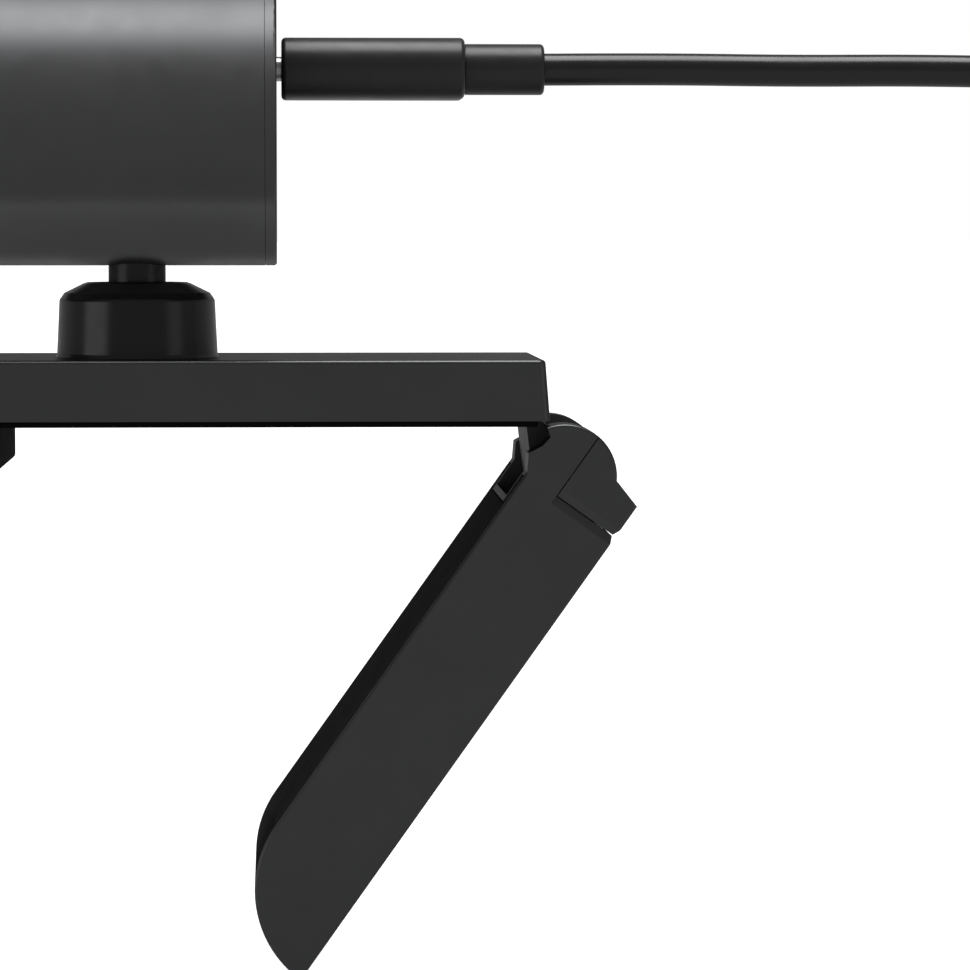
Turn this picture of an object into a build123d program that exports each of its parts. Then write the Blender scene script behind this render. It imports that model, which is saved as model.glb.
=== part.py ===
from build123d import *
import os
from math import atan2, cos, pi, radians, sin, sqrt, tan

# Cylindrical desktop webcam on a folding monitor clip, in millimetres.
# The origin lies on the underside of the clip's rubber pad, straight below the ball joint.
# +Z is up, -X is the way the lens looks, and X-Z is the plane of symmetry.

# ---------------------------------------------------------------- clip plate
plate_width = 30.0
plate_front = -17.05
plate_rear = 43.0
plate_top = 7.0
plate_wall = 1.5
plate_roof = 1.6
rear_draft = 0.5
plate_corner_r = 0.8
plate_edge_r = 0.4
pad_thickness = 0.6
base_thickness = 2.0
fit_gap = 0.1

lip_back = -14.0
lip_depth = 4.7
lip_pad_thickness = 1.6
lip_corner_r = 0.6
lip_tongue_height = 3.4
lip_width = 29.6

screw_shank_r = 0.8
screw_head_r = 1.5
screw_head_height = 0.8
boss_r = 2.0
base_screw_spots = [(-7.2, 10.4), (-7.2, -10.4), (28.5, 10.4), (28.5, -10.4)]
block_screw_spots = [(36.2, 6.5), (36.2, -6.5)]

insert_x = 20.0
insert_bore_r = 2.55
insert_body_r = 4.4
insert_flange_r = 5.6
insert_flange_height = 0.8
insert_bore_depth = 4.3

# ---------------------------------------------------------------- leg hinge
pivot_x = 45.0
pivot_z = -5.2
leg_angle = 54.6
knuckle_r = 5.5
knuckle_gap = 0.35
pin_r = 1.5
pin_half_length = 13.4
pin_running_gap = 0.04
pin_seat_gap = 0.02
lug_inner_y = 4.2
lug_outer_y = 9.8
lug_r = 3.1
lug_neck_front = 41.2
lug_neck_rear = 42.6
lug_wall_rear = 42.25
lug_side_gap = 0.4
block_front = 33.0
block_half_width = 10.0
block_height = 2.6
clip_count = 4
clip_pitch = 1.8
clip_thickness = 1.1
clip_outer_r = 2.6

# ---------------------------------------------------------------- leg
leg_length = 59.2
leg_front = 3.5
leg_back = -8.05
leg_toe_r = 11.7
leg_wall = 1.4
corner_u = -1.8
knuckle_end_v = -4.75
seam_v = -0.45
seam_u = 2.15
seam_gap = 0.12
groove_half = 0.95
groove_depth = 0.4
window_u = 5.2
window_back_v = -4.6
cavity_u = 8.6
leg_plate_thickness = 0.8
leg_pad_thickness = 0.8
leg_pad_margin = 0.7
pad_wrap = 62.0
toe_wall = 1.1
leg_pad_start = 5.9
ear_pad_start = 2.4
ear_pad_side = 0.7
leg_edge_r = 0.3
toe_edge_r = 1.0
leg_rib_spots = [21.0, 34.0]
leg_screw_spots = [(12.0, 8.0), (12.0, -8.0), (43.0, 8.0), (43.0, -8.0)]

# ---------------------------------------------------------------- ball joint
ball_r = 5.5
ball_z = 10.4
ball_gap = 0.1
stem_r = 3.07
housing_base_r = 8.72
housing_low_r = 8.6
housing_high_r = 8.32
housing_shoulder_z = 13.1
housing_top_z = 15.0
housing_top_r = 5.4
housing_mouth_r = 4.75
housing_neck_r = 7.2
housing_neck_low = 4.0
cup_r = 6.2
cup_low = 3.8
cup_high = 9.8
ring_nut_r = 9.2
spring_thickness = 0.35
spring_inner_r = 2.4
spring_outer_r = 5.6

# ---------------------------------------------------------------- barrel
barrel_r = 21.0
barrel_z = 37.75
barrel_rear = 15.0
barrel_front = -75.0
barrel_wall = 1.5
rear_ring_length = 1.2
ring_seam = 0.02
rim_chamfer = 0.03
front_ring_length = 2.4
barrel_edge_r = 0.35
stem_hole_gap = 0.22
cover_recess = 0.3
cover_thickness = 2.0
cover_flange = 0.5
cover_skirt = 1.6
spigot_length = 1.6
glass_thickness = 1.2
glass_recess = 0.25

stem_shoulder_z = 18.8
spindle_r = 2.2
saddle_top = 22.4
saddle_length = 14.0
saddle_width = 16.0
washer_r = 4.2
washer_thickness = 0.5
stem_screw_head_r = 3.0
stem_screw_head_height = 1.6
stem_screw_shank_r = 1.2

board_z = 33.2
board_thickness = 1.2
board_front = -52.0
board_rear = 9.6
board_half_width = 15.5
chassis_front = -62.0
chassis_rear = 10.4
chassis_wall = 1.3
deck_thickness = 2.0

sensor_board_x = -54.0
sensor_board_size = 26.0
sensor_size = (1.3, 9.6, 8.0)
holder_size = (9.0, 17.0, 17.0)
lens_r = 6.6
lens_front = -70.0
lens_rear = -55.6
lens_running_gap = 0.25
front_lens_r = 5.4
front_lens_length = 3.2
dome_rise = 1.2
rear_lens_r = 3.6
trim_r = 11.0
trim_length = 2.6
front_board_outer_r = 17.9
front_board_inner_r = 8.4
front_board_x = -66.0

# ---------------------------------------------------------------- USB-C plug and cord
usb_width = 8.25
usb_height = 2.4
usb_wall = 0.25
usb_gap = 0.05
socket_depth = 6.6
overmould_front = 15.5
overmould_rear = 35.0
overmould_width = 12.35
overmould_height = 6.5
overmould_edge_r = 0.5
relief_front = 35.2
relief_rear = 43.65
relief_r = 2.725
cord_r = 1.75

# Where the cord runs: chosen points in the plane of symmetry and then along the resting surface.
surface_z = -58.2
cord_points = [
    (43.65, 0.0, 37.75),
    (56.0, 0.0, 37.85),
    (70.0, 0.0, 37.65),
    (84.0, 0.0, 37.75),
    (98.0, 0.0, 37.5),
    (112.5, 0.0, 33.0),
    (121.5, 0.0, 20.5),
    (124.5, 0.0, 4.0),
    (124.8, 0.3, -15.0),
    (126.2, 1.5, -33.0),
    (131.5, 6.0, -47.5),
    (141.5, 14.2, -55.6),
    (155.3, 20.9, -56.45),
]

coil_x = 164.0
coil_y = -3.0
coil_inner_r = 13.0
coil_outer_r = 27.2
coil_height = 11.6
coil_round = 2.6
tie_angle = 200.0
tie_width = 8.0
tie_thickness = 0.9

usb_a_shell = (19.0, 12.0, 4.5)
usb_a_wall = 0.35
usb_a_mould = (26.0, 15.6, 7.6)
usb_a_x = 164.0

os.makedirs("parts", exist_ok=True)

plate_half = plate_width / 2
plate_under_roof = plate_top - plate_roof
base_top = pad_thickness + base_thickness
cavity_front = plate_front + plate_wall
cavity_rear = plate_rear - plate_wall
cavity_half = plate_half - plate_wall
block_top = pad_thickness + block_height
lip_tongue_rear = lip_back - fit_gap


def save(piece, name):
    """Labels a finished piece and writes it as its own STEP file."""
    piece.label = name
    export_step(piece, f"parts/{name}.step")


def ring_points(r, count, start=0.0):
    """Points evenly spaced on a circle, as (first, second) coordinates."""
    steps = [radians(start + 360.0 * i / count) for i in range(count)]
    return [(r * cos(a), r * sin(a)) for a in steps]


# ================================================================ clip plate
with BuildPart() as plate_cover:
    with BuildSketch(Plane.XZ):
        with BuildLine():
            Polyline(
                (plate_front, pad_thickness),
                (plate_rear + rear_draft, pad_thickness),
                (plate_rear, plate_top),
                (plate_front, plate_top),
                close=True,
            )
        make_face()
    extrude(amount=plate_half, both=True)
    uprights = plate_cover.edges().filter_by(
        lambda e: abs(e.tangent_at(0.5).Z) > 0.9 and e.length > 5
    )
    fillet(uprights, plate_corner_r)
    fillet(plate_cover.faces().sort_by(Axis.Z)[-1].edges(), plate_edge_r)
    with BuildSketch(Plane.XY.offset(pad_thickness)):
        with Locations(((cavity_front + cavity_rear) / 2, 0)):
            Rectangle(cavity_rear - cavity_front, 2 * cavity_half)
    extrude(amount=plate_under_roof - pad_thickness, mode=Mode.SUBTRACT)
    with BuildSketch(Plane.XY.offset(plate_under_roof)):
        with Locations(base_screw_spots):
            Circle(boss_r)
    extrude(amount=-(plate_under_roof - base_top))
    with BuildSketch(Plane.XY.offset(plate_under_roof)):
        with Locations(block_screw_spots):
            Circle(boss_r)
    extrude(amount=-(plate_under_roof - block_top))
    with BuildSketch(Plane.XY.offset(plate_under_roof + plate_roof / 2)):
        with Locations(base_screw_spots + block_screw_spots):
            Circle(screw_shank_r)
    extrude(amount=-plate_top, mode=Mode.SUBTRACT)
    with BuildSketch(Plane.XY):
        Circle(housing_neck_r + fit_gap)
    extrude(amount=plate_top + 1, mode=Mode.SUBTRACT)
    # The knuckle of the leg turns in a shallow hollow at the rear edge.
    with BuildSketch(Plane.XZ):
        with Locations((pivot_x, pivot_z)):
            Circle(knuckle_r + knuckle_gap)
    extrude(amount=plate_width, both=True, mode=Mode.SUBTRACT)
save(plate_cover.part, "plate_cover")

with BuildPart() as plate_base:
    with BuildSketch(Plane.XY.offset(pad_thickness)):
        base_front = lip_tongue_rear + fit_gap
        base_rear = block_front - fit_gap
        with Locations(((base_front + base_rear) / 2, 0)):
            RectangleRounded(base_rear - base_front, 2 * (cavity_half - fit_gap), 1.0)
        with Locations(base_screw_spots):
            Circle(screw_shank_r + fit_gap, mode=Mode.SUBTRACT)
        with Locations((insert_x, 0)):
            Circle(insert_body_r + fit_gap, mode=Mode.SUBTRACT)
    extrude(amount=base_thickness)
    with BuildSketch(Plane.XY.offset(pad_thickness)):
        with Locations(base_screw_spots):
            Circle(screw_head_r + fit_gap)
    extrude(amount=screw_head_height + fit_gap / 2, mode=Mode.SUBTRACT)
save(plate_base.part, "plate_base")

with BuildPart() as clip_pad:
    with BuildSketch(Plane.XY):
        pad_rear = pivot_x - sqrt((knuckle_r + knuckle_gap) ** 2 - pivot_z**2) - fit_gap
        with Locations(((lip_back + pad_rear) / 2, 0)):
            RectangleRounded(pad_rear - lip_back, plate_width - 0.3, plate_corner_r)
        with Locations((insert_x, 0)):
            Circle(insert_body_r + fit_gap, mode=Mode.SUBTRACT)
        with Locations((pad_rear, 0)):
            notch = 2 * (pad_rear - lug_neck_front + knuckle_gap)
            Rectangle(notch, 2 * (lug_outer_y + knuckle_gap), mode=Mode.SUBTRACT)
    extrude(amount=pad_thickness)
save(clip_pad.part, "clip_pad")

with BuildPart() as front_lip:
    lip_face = lip_back - lip_pad_thickness
    with BuildSketch(Plane.XZ):
        with BuildLine():
            Polyline(
                (plate_front, -lip_depth),
                (lip_face, -lip_depth),
                (lip_face, 0),
                (lip_tongue_rear, 0),
                (lip_tongue_rear, pad_thickness + lip_tongue_height),
                (cavity_front + fit_gap, pad_thickness + lip_tongue_height),
                (cavity_front + fit_gap, pad_thickness),
                (plate_front, pad_thickness),
                close=True,
            )
        make_face()
    extrude(amount=lip_width / 2, both=True)
    long_low = front_lip.edges().filter_by(Axis.Y).group_by(Axis.Z)[0]
    fillet(long_low, 0.5)
    with BuildSketch(Plane.XY.offset(pad_thickness)):
        for side in (-1, 1):
            with Locations((plate_front, side * plate_half)):
                Rectangle(8 * plate_wall, 2 * (plate_wall + fit_gap))
    extrude(amount=lip_tongue_height, mode=Mode.SUBTRACT)
save(front_lip.part, "front_lip")

with BuildPart() as lip_pad:
    with BuildSketch(Plane.XZ):
        with BuildLine():
            Polyline(
                (lip_face, 0),
                (lip_face, -lip_depth),
                (lip_back, -lip_depth),
                (lip_back, 0),
                close=True,
            )
        make_face()
    extrude(amount=lip_width / 2, both=True)
    low_edges = lip_pad.edges().filter_by(Axis.Y).group_by(Axis.Z)[0]
    fillet(low_edges.sort_by(Axis.X)[-1], lip_corner_r)
save(lip_pad.part, "lip_pad")


def countersunk_screw(head_r, head_height, shank_r, length, spots, low_z):
    """Makes upright screws with their heads at the bottom, at each spot, with a cross recess."""
    with BuildPart() as made:
        with BuildSketch(Plane.XY.offset(low_z)):
            with Locations(spots):
                Circle(head_r)
        extrude(amount=head_height)
        with BuildSketch(Plane.XY.offset(low_z + head_height)):
            with Locations(spots):
                Circle(shank_r)
        extrude(amount=length)
        with BuildSketch(Plane.XY.offset(low_z)):
            with Locations(spots):
                Rectangle(1.1 * head_r, 0.3 * head_r)
                Rectangle(0.3 * head_r, 1.1 * head_r)
        extrude(amount=head_height / 2, mode=Mode.SUBTRACT)
    return made.part


base_screws = countersunk_screw(
    screw_head_r,
    screw_head_height,
    screw_shank_r - 0.03,
    base_thickness - screw_head_height + 2.2,
    base_screw_spots,
    pad_thickness,
)
save(base_screws, "base_screws")

with BuildPart() as tripod_insert:
    with BuildSketch(Plane.XY.offset(pad_thickness)):
        with Locations((insert_x, 0)):
            Circle(insert_body_r)
    extrude(amount=plate_under_roof - pad_thickness)
    with BuildSketch(Plane.XY.offset(base_top)):
        with Locations((insert_x, 0)):
            RegularPolygon(insert_flange_r, 6)
    extrude(amount=insert_flange_height)
    with BuildSketch(Plane.XY.offset(pad_thickness)):
        with Locations((insert_x, 0)):
            Circle(insert_bore_r)
    extrude(amount=insert_bore_depth, mode=Mode.SUBTRACT)
save(tripod_insert.part, "tripod_insert")

# ================================================================ leg hinge
with BuildPart() as hinge_block:
    with BuildSketch(Plane.XY.offset(pad_thickness)):
        with Locations(((block_front + cavity_rear - fit_gap) / 2, 0)):
            Rectangle(cavity_rear - fit_gap - block_front, 2 * block_half_width)
    extrude(amount=block_height)
    with BuildSketch(Plane.XZ.offset(-lug_outer_y)):
        with BuildLine():
            Polyline(
                (lug_neck_front, pad_thickness),
                (pivot_x, pivot_z),
                (lug_neck_rear, pad_thickness),
                close=True,
            )
        make_face()
        with Locations((pivot_x, pivot_z)):
            Circle(lug_r)
        make_hull()
    extrude(amount=2 * lug_outer_y)
    # Room for the friction clips between the lugs, behind a thin wall that joins them.
    with BuildSketch(Plane.XZ.offset(-lug_inner_y)):
        with Locations((lug_wall_rear + knuckle_r, pivot_z)):
            Rectangle(2 * knuckle_r, 2 * (pad_thickness - pivot_z))
    extrude(amount=2 * lug_inner_y, mode=Mode.SUBTRACT)
    with BuildSketch(Plane.XZ):
        with Locations((pivot_x, pivot_z)):
            Circle(pin_r + pin_running_gap)
    extrude(amount=plate_width, both=True, mode=Mode.SUBTRACT)
    with BuildSketch(Plane.XY):
        with Locations(block_screw_spots):
            Circle(screw_shank_r + fit_gap)
    extrude(amount=plate_top, mode=Mode.SUBTRACT)
    with BuildSketch(Plane.XY):
        with Locations(block_screw_spots):
            Circle(screw_head_r + fit_gap)
    extrude(amount=pad_thickness + screw_head_height + fit_gap / 2, mode=Mode.SUBTRACT)
save(hinge_block.part, "hinge_block")

block_screws = countersunk_screw(
    screw_head_r,
    screw_head_height,
    screw_shank_r - 0.03,
    block_height - screw_head_height + 2.0,
    block_screw_spots,
    pad_thickness,
)
save(block_screws, "hinge_block_screws")

with BuildPart() as friction_clips:
    tail_x = lug_wall_rear + fit_gap + 0.5
    clip_starts = [(i - (clip_count - 1) / 2) * clip_pitch for i in range(clip_count)]
    for start in clip_starts:
        with BuildSketch(Plane.XZ.offset(-start - clip_thickness / 2)):
            with BuildLine():
                Polyline(
                    (tail_x - 0.5, pad_thickness),
                    (pivot_x - clip_outer_r, pivot_z),
                    (pivot_x, pivot_z + clip_outer_r),
                    (tail_x + 0.5, pad_thickness),
                    close=True,
                )
            make_face()
            with Locations((pivot_x, pivot_z)):
                Circle(clip_outer_r)
                Circle(pin_r + pin_running_gap, mode=Mode.SUBTRACT)
        extrude(amount=clip_thickness)
save(friction_clips.part, "friction_clips")

# ================================================================ leg
# The leg's own frame: u runs down the leg from the pivot, v points out of its padded front.
leg_dir = (-cos(radians(leg_angle)), 0, -sin(radians(leg_angle)))
leg_plane = Plane(origin=(pivot_x, 0, pivot_z), x_dir=leg_dir, z_dir=(0, 1, 0))
toe_start_u = leg_length - leg_toe_r
toe_center_v = leg_front - leg_toe_r
knuckle_end_u = -sqrt(knuckle_r**2 - knuckle_end_v**2)
notch_top = (-3.2, sqrt(knuckle_r**2 - 3.2**2))
toe_mid = (
    toe_start_u + leg_toe_r * sin(pi / 4),
    toe_center_v + leg_toe_r * cos(pi / 4),
)
toe_end = (
    toe_start_u + sqrt(leg_toe_r**2 - (leg_back - toe_center_v) ** 2),
    leg_back,
)
window_low = -2 * knuckle_r

# Side outline: knuckle, notched front shoulder, rounded toe, straight back and square heel.
with BuildSketch() as leg_outline:
    with BuildLine():
        Polyline(
            notch_top,
            (-2.5, 3.6),
            (-1.3, 3.75),
            (0.2, 4.5),
            (1.9, leg_front),
            (toe_start_u, leg_front),
        )
        ThreePointArc((toe_start_u, leg_front), toe_mid, toe_end)
        Polyline(toe_end, (corner_u, leg_back), (knuckle_end_u, knuckle_end_v))
        ThreePointArc((knuckle_end_u, knuckle_end_v), (-knuckle_r, 0), notch_top)
    make_face()

# Opening between the ears, where the plate's lugs turn.
with BuildSketch() as leg_window:
    with BuildLine():
        Polyline(
            (window_low, window_back_v),
            (window_u, window_back_v),
            (window_u, 3 * leg_front),
            (window_low, 3 * leg_front),
            close=True,
        )
    make_face()


# The rubber pad covers the flat front and follows the toe's curve.
pad_inner_v = leg_front - leg_pad_thickness
pad_inner_r = leg_toe_r - leg_pad_thickness
pad_end = radians(pad_wrap)


def toe_point(r, angle):
    """Gives the (u, v) point on a circle about the toe's centre, angle turned from v towards u."""
    return (toe_start_u + r * sin(angle), toe_center_v + r * cos(angle))


with BuildSketch() as pad_profile:
    with BuildLine():
        Polyline(toe_point(leg_toe_r, 0), (leg_pad_start + fit_gap, leg_front))
        Line((leg_pad_start + fit_gap, leg_front), (leg_pad_start + fit_gap, pad_inner_v))
        Line((leg_pad_start + fit_gap, pad_inner_v), toe_point(pad_inner_r, 0))
        ThreePointArc(
            toe_point(pad_inner_r, 0),
            toe_point(pad_inner_r, pad_end / 2),
            toe_point(pad_inner_r, pad_end),
        )
        Line(toe_point(pad_inner_r, pad_end), toe_point(leg_toe_r, pad_end))
        ThreePointArc(
            toe_point(leg_toe_r, pad_end),
            toe_point(leg_toe_r, pad_end / 2),
            toe_point(leg_toe_r, 0),
        )
    make_face()

with BuildSketch() as toe_pocket:
    pocket_end = pad_end + radians(0.5)
    with BuildLine():
        Line(toe_point(pad_inner_r - 0.03, -0.05), toe_point(leg_toe_r + 1, -0.05))
        ThreePointArc(
            toe_point(leg_toe_r + 1, -0.05),
            toe_point(leg_toe_r + 1, pocket_end / 2),
            toe_point(leg_toe_r + 1, pocket_end),
        )
        Line(toe_point(leg_toe_r + 1, pocket_end), toe_point(pad_inner_r - 0.03, pocket_end))
        ThreePointArc(
            toe_point(pad_inner_r - 0.03, pocket_end),
            toe_point(pad_inner_r - 0.03, pocket_end / 2),
            toe_point(pad_inner_r - 0.03, -0.05),
        )
    make_face()


def side_plane(y):
    """Gives the leg's own plane, moved sideways by y."""
    return leg_plane.offset(y)


# Shallow V groove round the heel joint, on both sides and across the back.
with BuildPart() as heel_groove:
    across = Plane(
        origin=leg_plane.from_local_coords((0, seam_v, 0)),
        x_dir=leg_dir,
        z_dir=-leg_plane.y_dir,
    )
    with BuildSketch(across):
        for side in (-1, 1):
            with BuildLine():
                Polyline(
                    (seam_u - groove_half, side * plate_half),
                    (seam_u, side * (plate_half - groove_depth)),
                    (seam_u + groove_half, side * plate_half),
                    (seam_u, side * (plate_half + groove_depth)),
                    close=True,
                )
            make_face()
    extrude(amount=-2 * leg_back)
    with BuildSketch(side_plane(-plate_half)):
        with BuildLine():
            Polyline(
                (seam_u - groove_half, leg_back),
                (seam_u, leg_back + groove_depth),
                (seam_u + groove_half, leg_back),
                (seam_u, leg_back - groove_depth),
                close=True,
            )
        make_face()
    extrude(amount=plate_width)

heel_screw_spots = [(-5.9, 12.4), (-5.9, -12.4)]
ear_inner = lug_outer_y + lug_side_gap
bulkhead_u = seam_u + 2.2
ear_pad_room = plate_half - leg_pad_margin - ear_inner - ear_pad_side

with BuildPart() as leg_blank:
    with BuildSketch(side_plane(-plate_half)):
        add(leg_outline.sketch)
    extrude(amount=plate_width)
    toe_edge = leg_blank.edges().filter_by(Axis.Y).sort_by(
        lambda e: leg_plane.to_local_coords(e.center()).X
    )[-1]
    fillet(toe_edge, toe_edge_r)
    side_edges = leg_blank.edges().filter_by(lambda e: abs(abs(e.center().Y) - plate_half) < 0.01)
    fillet(side_edges.filter_by(lambda e: e.length > knuckle_r), leg_edge_r)

with BuildPart() as leg_shell:
    add(leg_blank.part)
    with BuildSketch(side_plane(-ear_inner)):
        add(leg_window.sketch)
    extrude(amount=2 * ear_inner, mode=Mode.SUBTRACT)
    # The heel joint: everything behind the pin and above the groove belongs to the heel cap.
    with BuildSketch(side_plane(-plate_half)):
        with BuildLine():
            Polyline(
                (-3 * knuckle_r, seam_v),
                (seam_u + seam_gap / 2, seam_v),
                (seam_u + seam_gap / 2, 3 * leg_back),
                (-3 * knuckle_r, 3 * leg_back),
                close=True,
            )
        make_face()
    extrude(amount=plate_width, mode=Mode.SUBTRACT)
    add(heel_groove.part, mode=Mode.SUBTRACT)
    # Hollow from the front, with the toe's skin one wall thick.
    with BuildSketch(side_plane(-plate_half + leg_wall)):
        inner_toe_r = pad_inner_r - toe_wall
        inner_back = leg_back + leg_wall
        inner_front = leg_front - leg_pad_thickness - leg_plate_thickness
        with BuildLine():
            inner_mid = (
                toe_start_u + inner_toe_r * sin(pi / 4),
                toe_center_v + inner_toe_r * cos(pi / 4),
            )
            inner_end = (
                toe_start_u + sqrt(inner_toe_r**2 - (inner_back - toe_center_v) ** 2),
                inner_back,
            )
            toe_front_v = toe_center_v + inner_toe_r
            Polyline(
                (toe_start_u, toe_front_v),
                (toe_start_u, leg_front + 1),
                (cavity_u, leg_front + 1),
                (cavity_u, inner_back),
                inner_end,
            )
            ThreePointArc((toe_start_u, toe_front_v), inner_mid, inner_end)
        make_face()
    extrude(amount=plate_width - 2 * leg_wall, mode=Mode.SUBTRACT)
    # A step round the front opening seats the pad plate and the pad.
    with BuildSketch(side_plane(-plate_half + leg_pad_margin)):
        with BuildLine():
            Polyline(
                (leg_pad_start, inner_front),
                (toe_start_u - 0.4, inner_front),
                (toe_start_u - 0.4, leg_front + 1),
                (leg_pad_start, leg_front + 1),
                close=True,
            )
        make_face()
    extrude(amount=plate_width - 2 * leg_pad_margin, mode=Mode.SUBTRACT)
    with BuildSketch(side_plane(-plate_half + leg_pad_margin)):
        add(toe_pocket.sketch)
    extrude(amount=plate_width - 2 * leg_pad_margin, mode=Mode.SUBTRACT)
    for low_y in (-plate_half + leg_pad_margin, ear_inner + ear_pad_side):
        with BuildSketch(side_plane(low_y)):
            with BuildLine():
                Polyline(
                    (ear_pad_start, pad_inner_v - 0.03),
                    (leg_pad_start + 1, pad_inner_v - 0.03),
                    (leg_pad_start + 1, leg_front + 1),
                    (ear_pad_start, leg_front + 1),
                    close=True,
                )
            make_face()
        extrude(amount=ear_pad_room, mode=Mode.SUBTRACT)
    for rib_u in leg_rib_spots:
        with BuildSketch(side_plane(-plate_half + leg_wall)):
            with BuildLine():
                Polyline(
                    (rib_u - 0.6, inner_back),
                    (rib_u + 0.6, inner_back),
                    (rib_u + 0.6, inner_front - 2.2),
                    (rib_u - 0.6, inner_front - 2.2),
                    close=True,
                )
            make_face()
        extrude(amount=plate_width - 2 * leg_wall)
    boss_plane = Plane(
        origin=leg_plane.from_local_coords((0, inner_front, 0)),
        x_dir=leg_dir,
        z_dir=leg_plane.y_dir,
    )
    with BuildSketch(boss_plane):
        with Locations([(u, -y) for u, y in leg_screw_spots]):
            Circle(boss_r)
    extrude(amount=-(inner_front - inner_back))
    with BuildSketch(boss_plane):
        with Locations([(u, -y) for u, y in leg_screw_spots]):
            Circle(screw_shank_r)
    extrude(amount=-5.0, mode=Mode.SUBTRACT)
    with BuildSketch(side_plane(-pin_half_length - fit_gap)):
        Circle(pin_r + pin_seat_gap)
    extrude(amount=2 * (pin_half_length + fit_gap), mode=Mode.SUBTRACT)
    heel_screw_plane = Plane(
        origin=leg_plane.from_local_coords((0, 0, 0)),
        x_dir=-leg_plane.y_dir,
        z_dir=leg_plane.x_dir,
    )
    with BuildSketch(heel_screw_plane):
        with Locations([(-v, y) for v, y in heel_screw_spots]):
            Circle(screw_shank_r + 0.05)
    extrude(amount=cavity_u + 1, mode=Mode.SUBTRACT)
    with BuildSketch(heel_screw_plane.offset(bulkhead_u)):
        with Locations([(-v, y) for v, y in heel_screw_spots]):
            Circle(screw_head_r + fit_gap)
    extrude(amount=cavity_u + 1 - bulkhead_u, mode=Mode.SUBTRACT)
save(leg_shell.part, "leg_shell")

with BuildPart() as leg_heel_cap:
    add(leg_blank.part)
    with BuildSketch(side_plane(-ear_inner)):
        add(leg_window.sketch)
    extrude(amount=2 * ear_inner, mode=Mode.SUBTRACT)
    with BuildSketch(side_plane(-plate_half)):
        with BuildLine():
            Polyline(
                (-3 * knuckle_r, seam_v - seam_gap),
                (seam_u - seam_gap / 2, seam_v - seam_gap),
                (seam_u - seam_gap / 2, 3 * leg_back),
                (-3 * knuckle_r, 3 * leg_back),
                close=True,
            )
        make_face()
    extrude(amount=plate_width, mode=Mode.INTERSECT)
    add(heel_groove.part, mode=Mode.SUBTRACT)
    with BuildSketch(side_plane(-pin_half_length - fit_gap)):
        Circle(pin_r + pin_seat_gap)
    extrude(amount=2 * (pin_half_length + fit_gap), mode=Mode.SUBTRACT)
    with BuildSketch(heel_screw_plane.offset(-0.6)):
        with Locations([(-v, y) for v, y in heel_screw_spots]):
            Circle(screw_shank_r)
    extrude(amount=2 * leg_front, mode=Mode.SUBTRACT)
save(leg_heel_cap.part, "leg_heel_cap")

with BuildPart() as heel_screws:
    with BuildSketch(heel_screw_plane.offset(bulkhead_u)):
        with Locations([(-v, y) for v, y in heel_screw_spots]):
            Circle(screw_head_r)
    extrude(amount=screw_head_height)
    with BuildSketch(heel_screw_plane.offset(-0.4)):
        with Locations([(-v, y) for v, y in heel_screw_spots]):
            Circle(screw_shank_r - 0.03)
    extrude(amount=bulkhead_u + 0.4)
save(heel_screws.part, "heel_screws")

with BuildPart() as hinge_pin:
    with BuildSketch(side_plane(-pin_half_length)):
        Circle(pin_r)
    extrude(amount=2 * pin_half_length)
    chamfer(hinge_pin.edges(), 0.2)
save(hinge_pin.part, "hinge_pin")

pad_u_low = leg_pad_start + fit_gap
pad_u_high = toe_start_u - 0.4 - fit_gap
pad_mid_u = (pad_u_low + pad_u_high) / 2

with BuildPart() as leg_pad_plate:
    with BuildSketch(boss_plane):
        with Locations((pad_mid_u, 0)):
            side_room = 2 * (leg_pad_margin + fit_gap)
            RectangleRounded(pad_u_high - pad_u_low, plate_width - side_room, 1.0)
        with Locations([(u, -y) for u, y in leg_screw_spots]):
            Circle(screw_shank_r + fit_gap, mode=Mode.SUBTRACT)
    extrude(amount=leg_plate_thickness)
    with BuildSketch(boss_plane.offset(leg_plate_thickness)):
        with Locations([(u, -y) for u, y in leg_screw_spots]):
            Circle(screw_head_r + fit_gap)
    extrude(amount=-0.45, mode=Mode.SUBTRACT)
save(leg_pad_plate.part, "leg_pad_plate")

with BuildPart() as leg_plate_screws:
    with BuildSketch(boss_plane.offset(leg_plate_thickness)):
        with Locations([(u, -y) for u, y in leg_screw_spots]):
            Circle(screw_head_r)
    extrude(amount=-0.42)
    with BuildSketch(boss_plane.offset(leg_plate_thickness)):
        with Locations([(u, -y) for u, y in leg_screw_spots]):
            Circle(screw_shank_r - 0.03)
    extrude(amount=-4.6)
save(leg_plate_screws.part, "leg_plate_screws")

with BuildPart() as leg_pad:
    with BuildSketch(side_plane(-plate_half + leg_pad_margin + fit_gap)):
        add(pad_profile.sketch)
    extrude(amount=plate_width - 2 * (leg_pad_margin + fit_gap))
    # Two tongues run on along the ears, beside the window.
    for low_y in (-plate_half + leg_pad_margin + fit_gap, ear_inner + ear_pad_side + fit_gap):
        with BuildSketch(side_plane(low_y)):
            with BuildLine():
                Polyline(
                    (ear_pad_start + fit_gap, pad_inner_v),
                    (leg_pad_start + 1, pad_inner_v),
                    (leg_pad_start + 1, leg_front),
                    (ear_pad_start + fit_gap, leg_front),
                    close=True,
                )
            make_face()
        extrude(amount=ear_pad_room - 2 * fit_gap)
save(leg_pad.part, "leg_pad")

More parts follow.
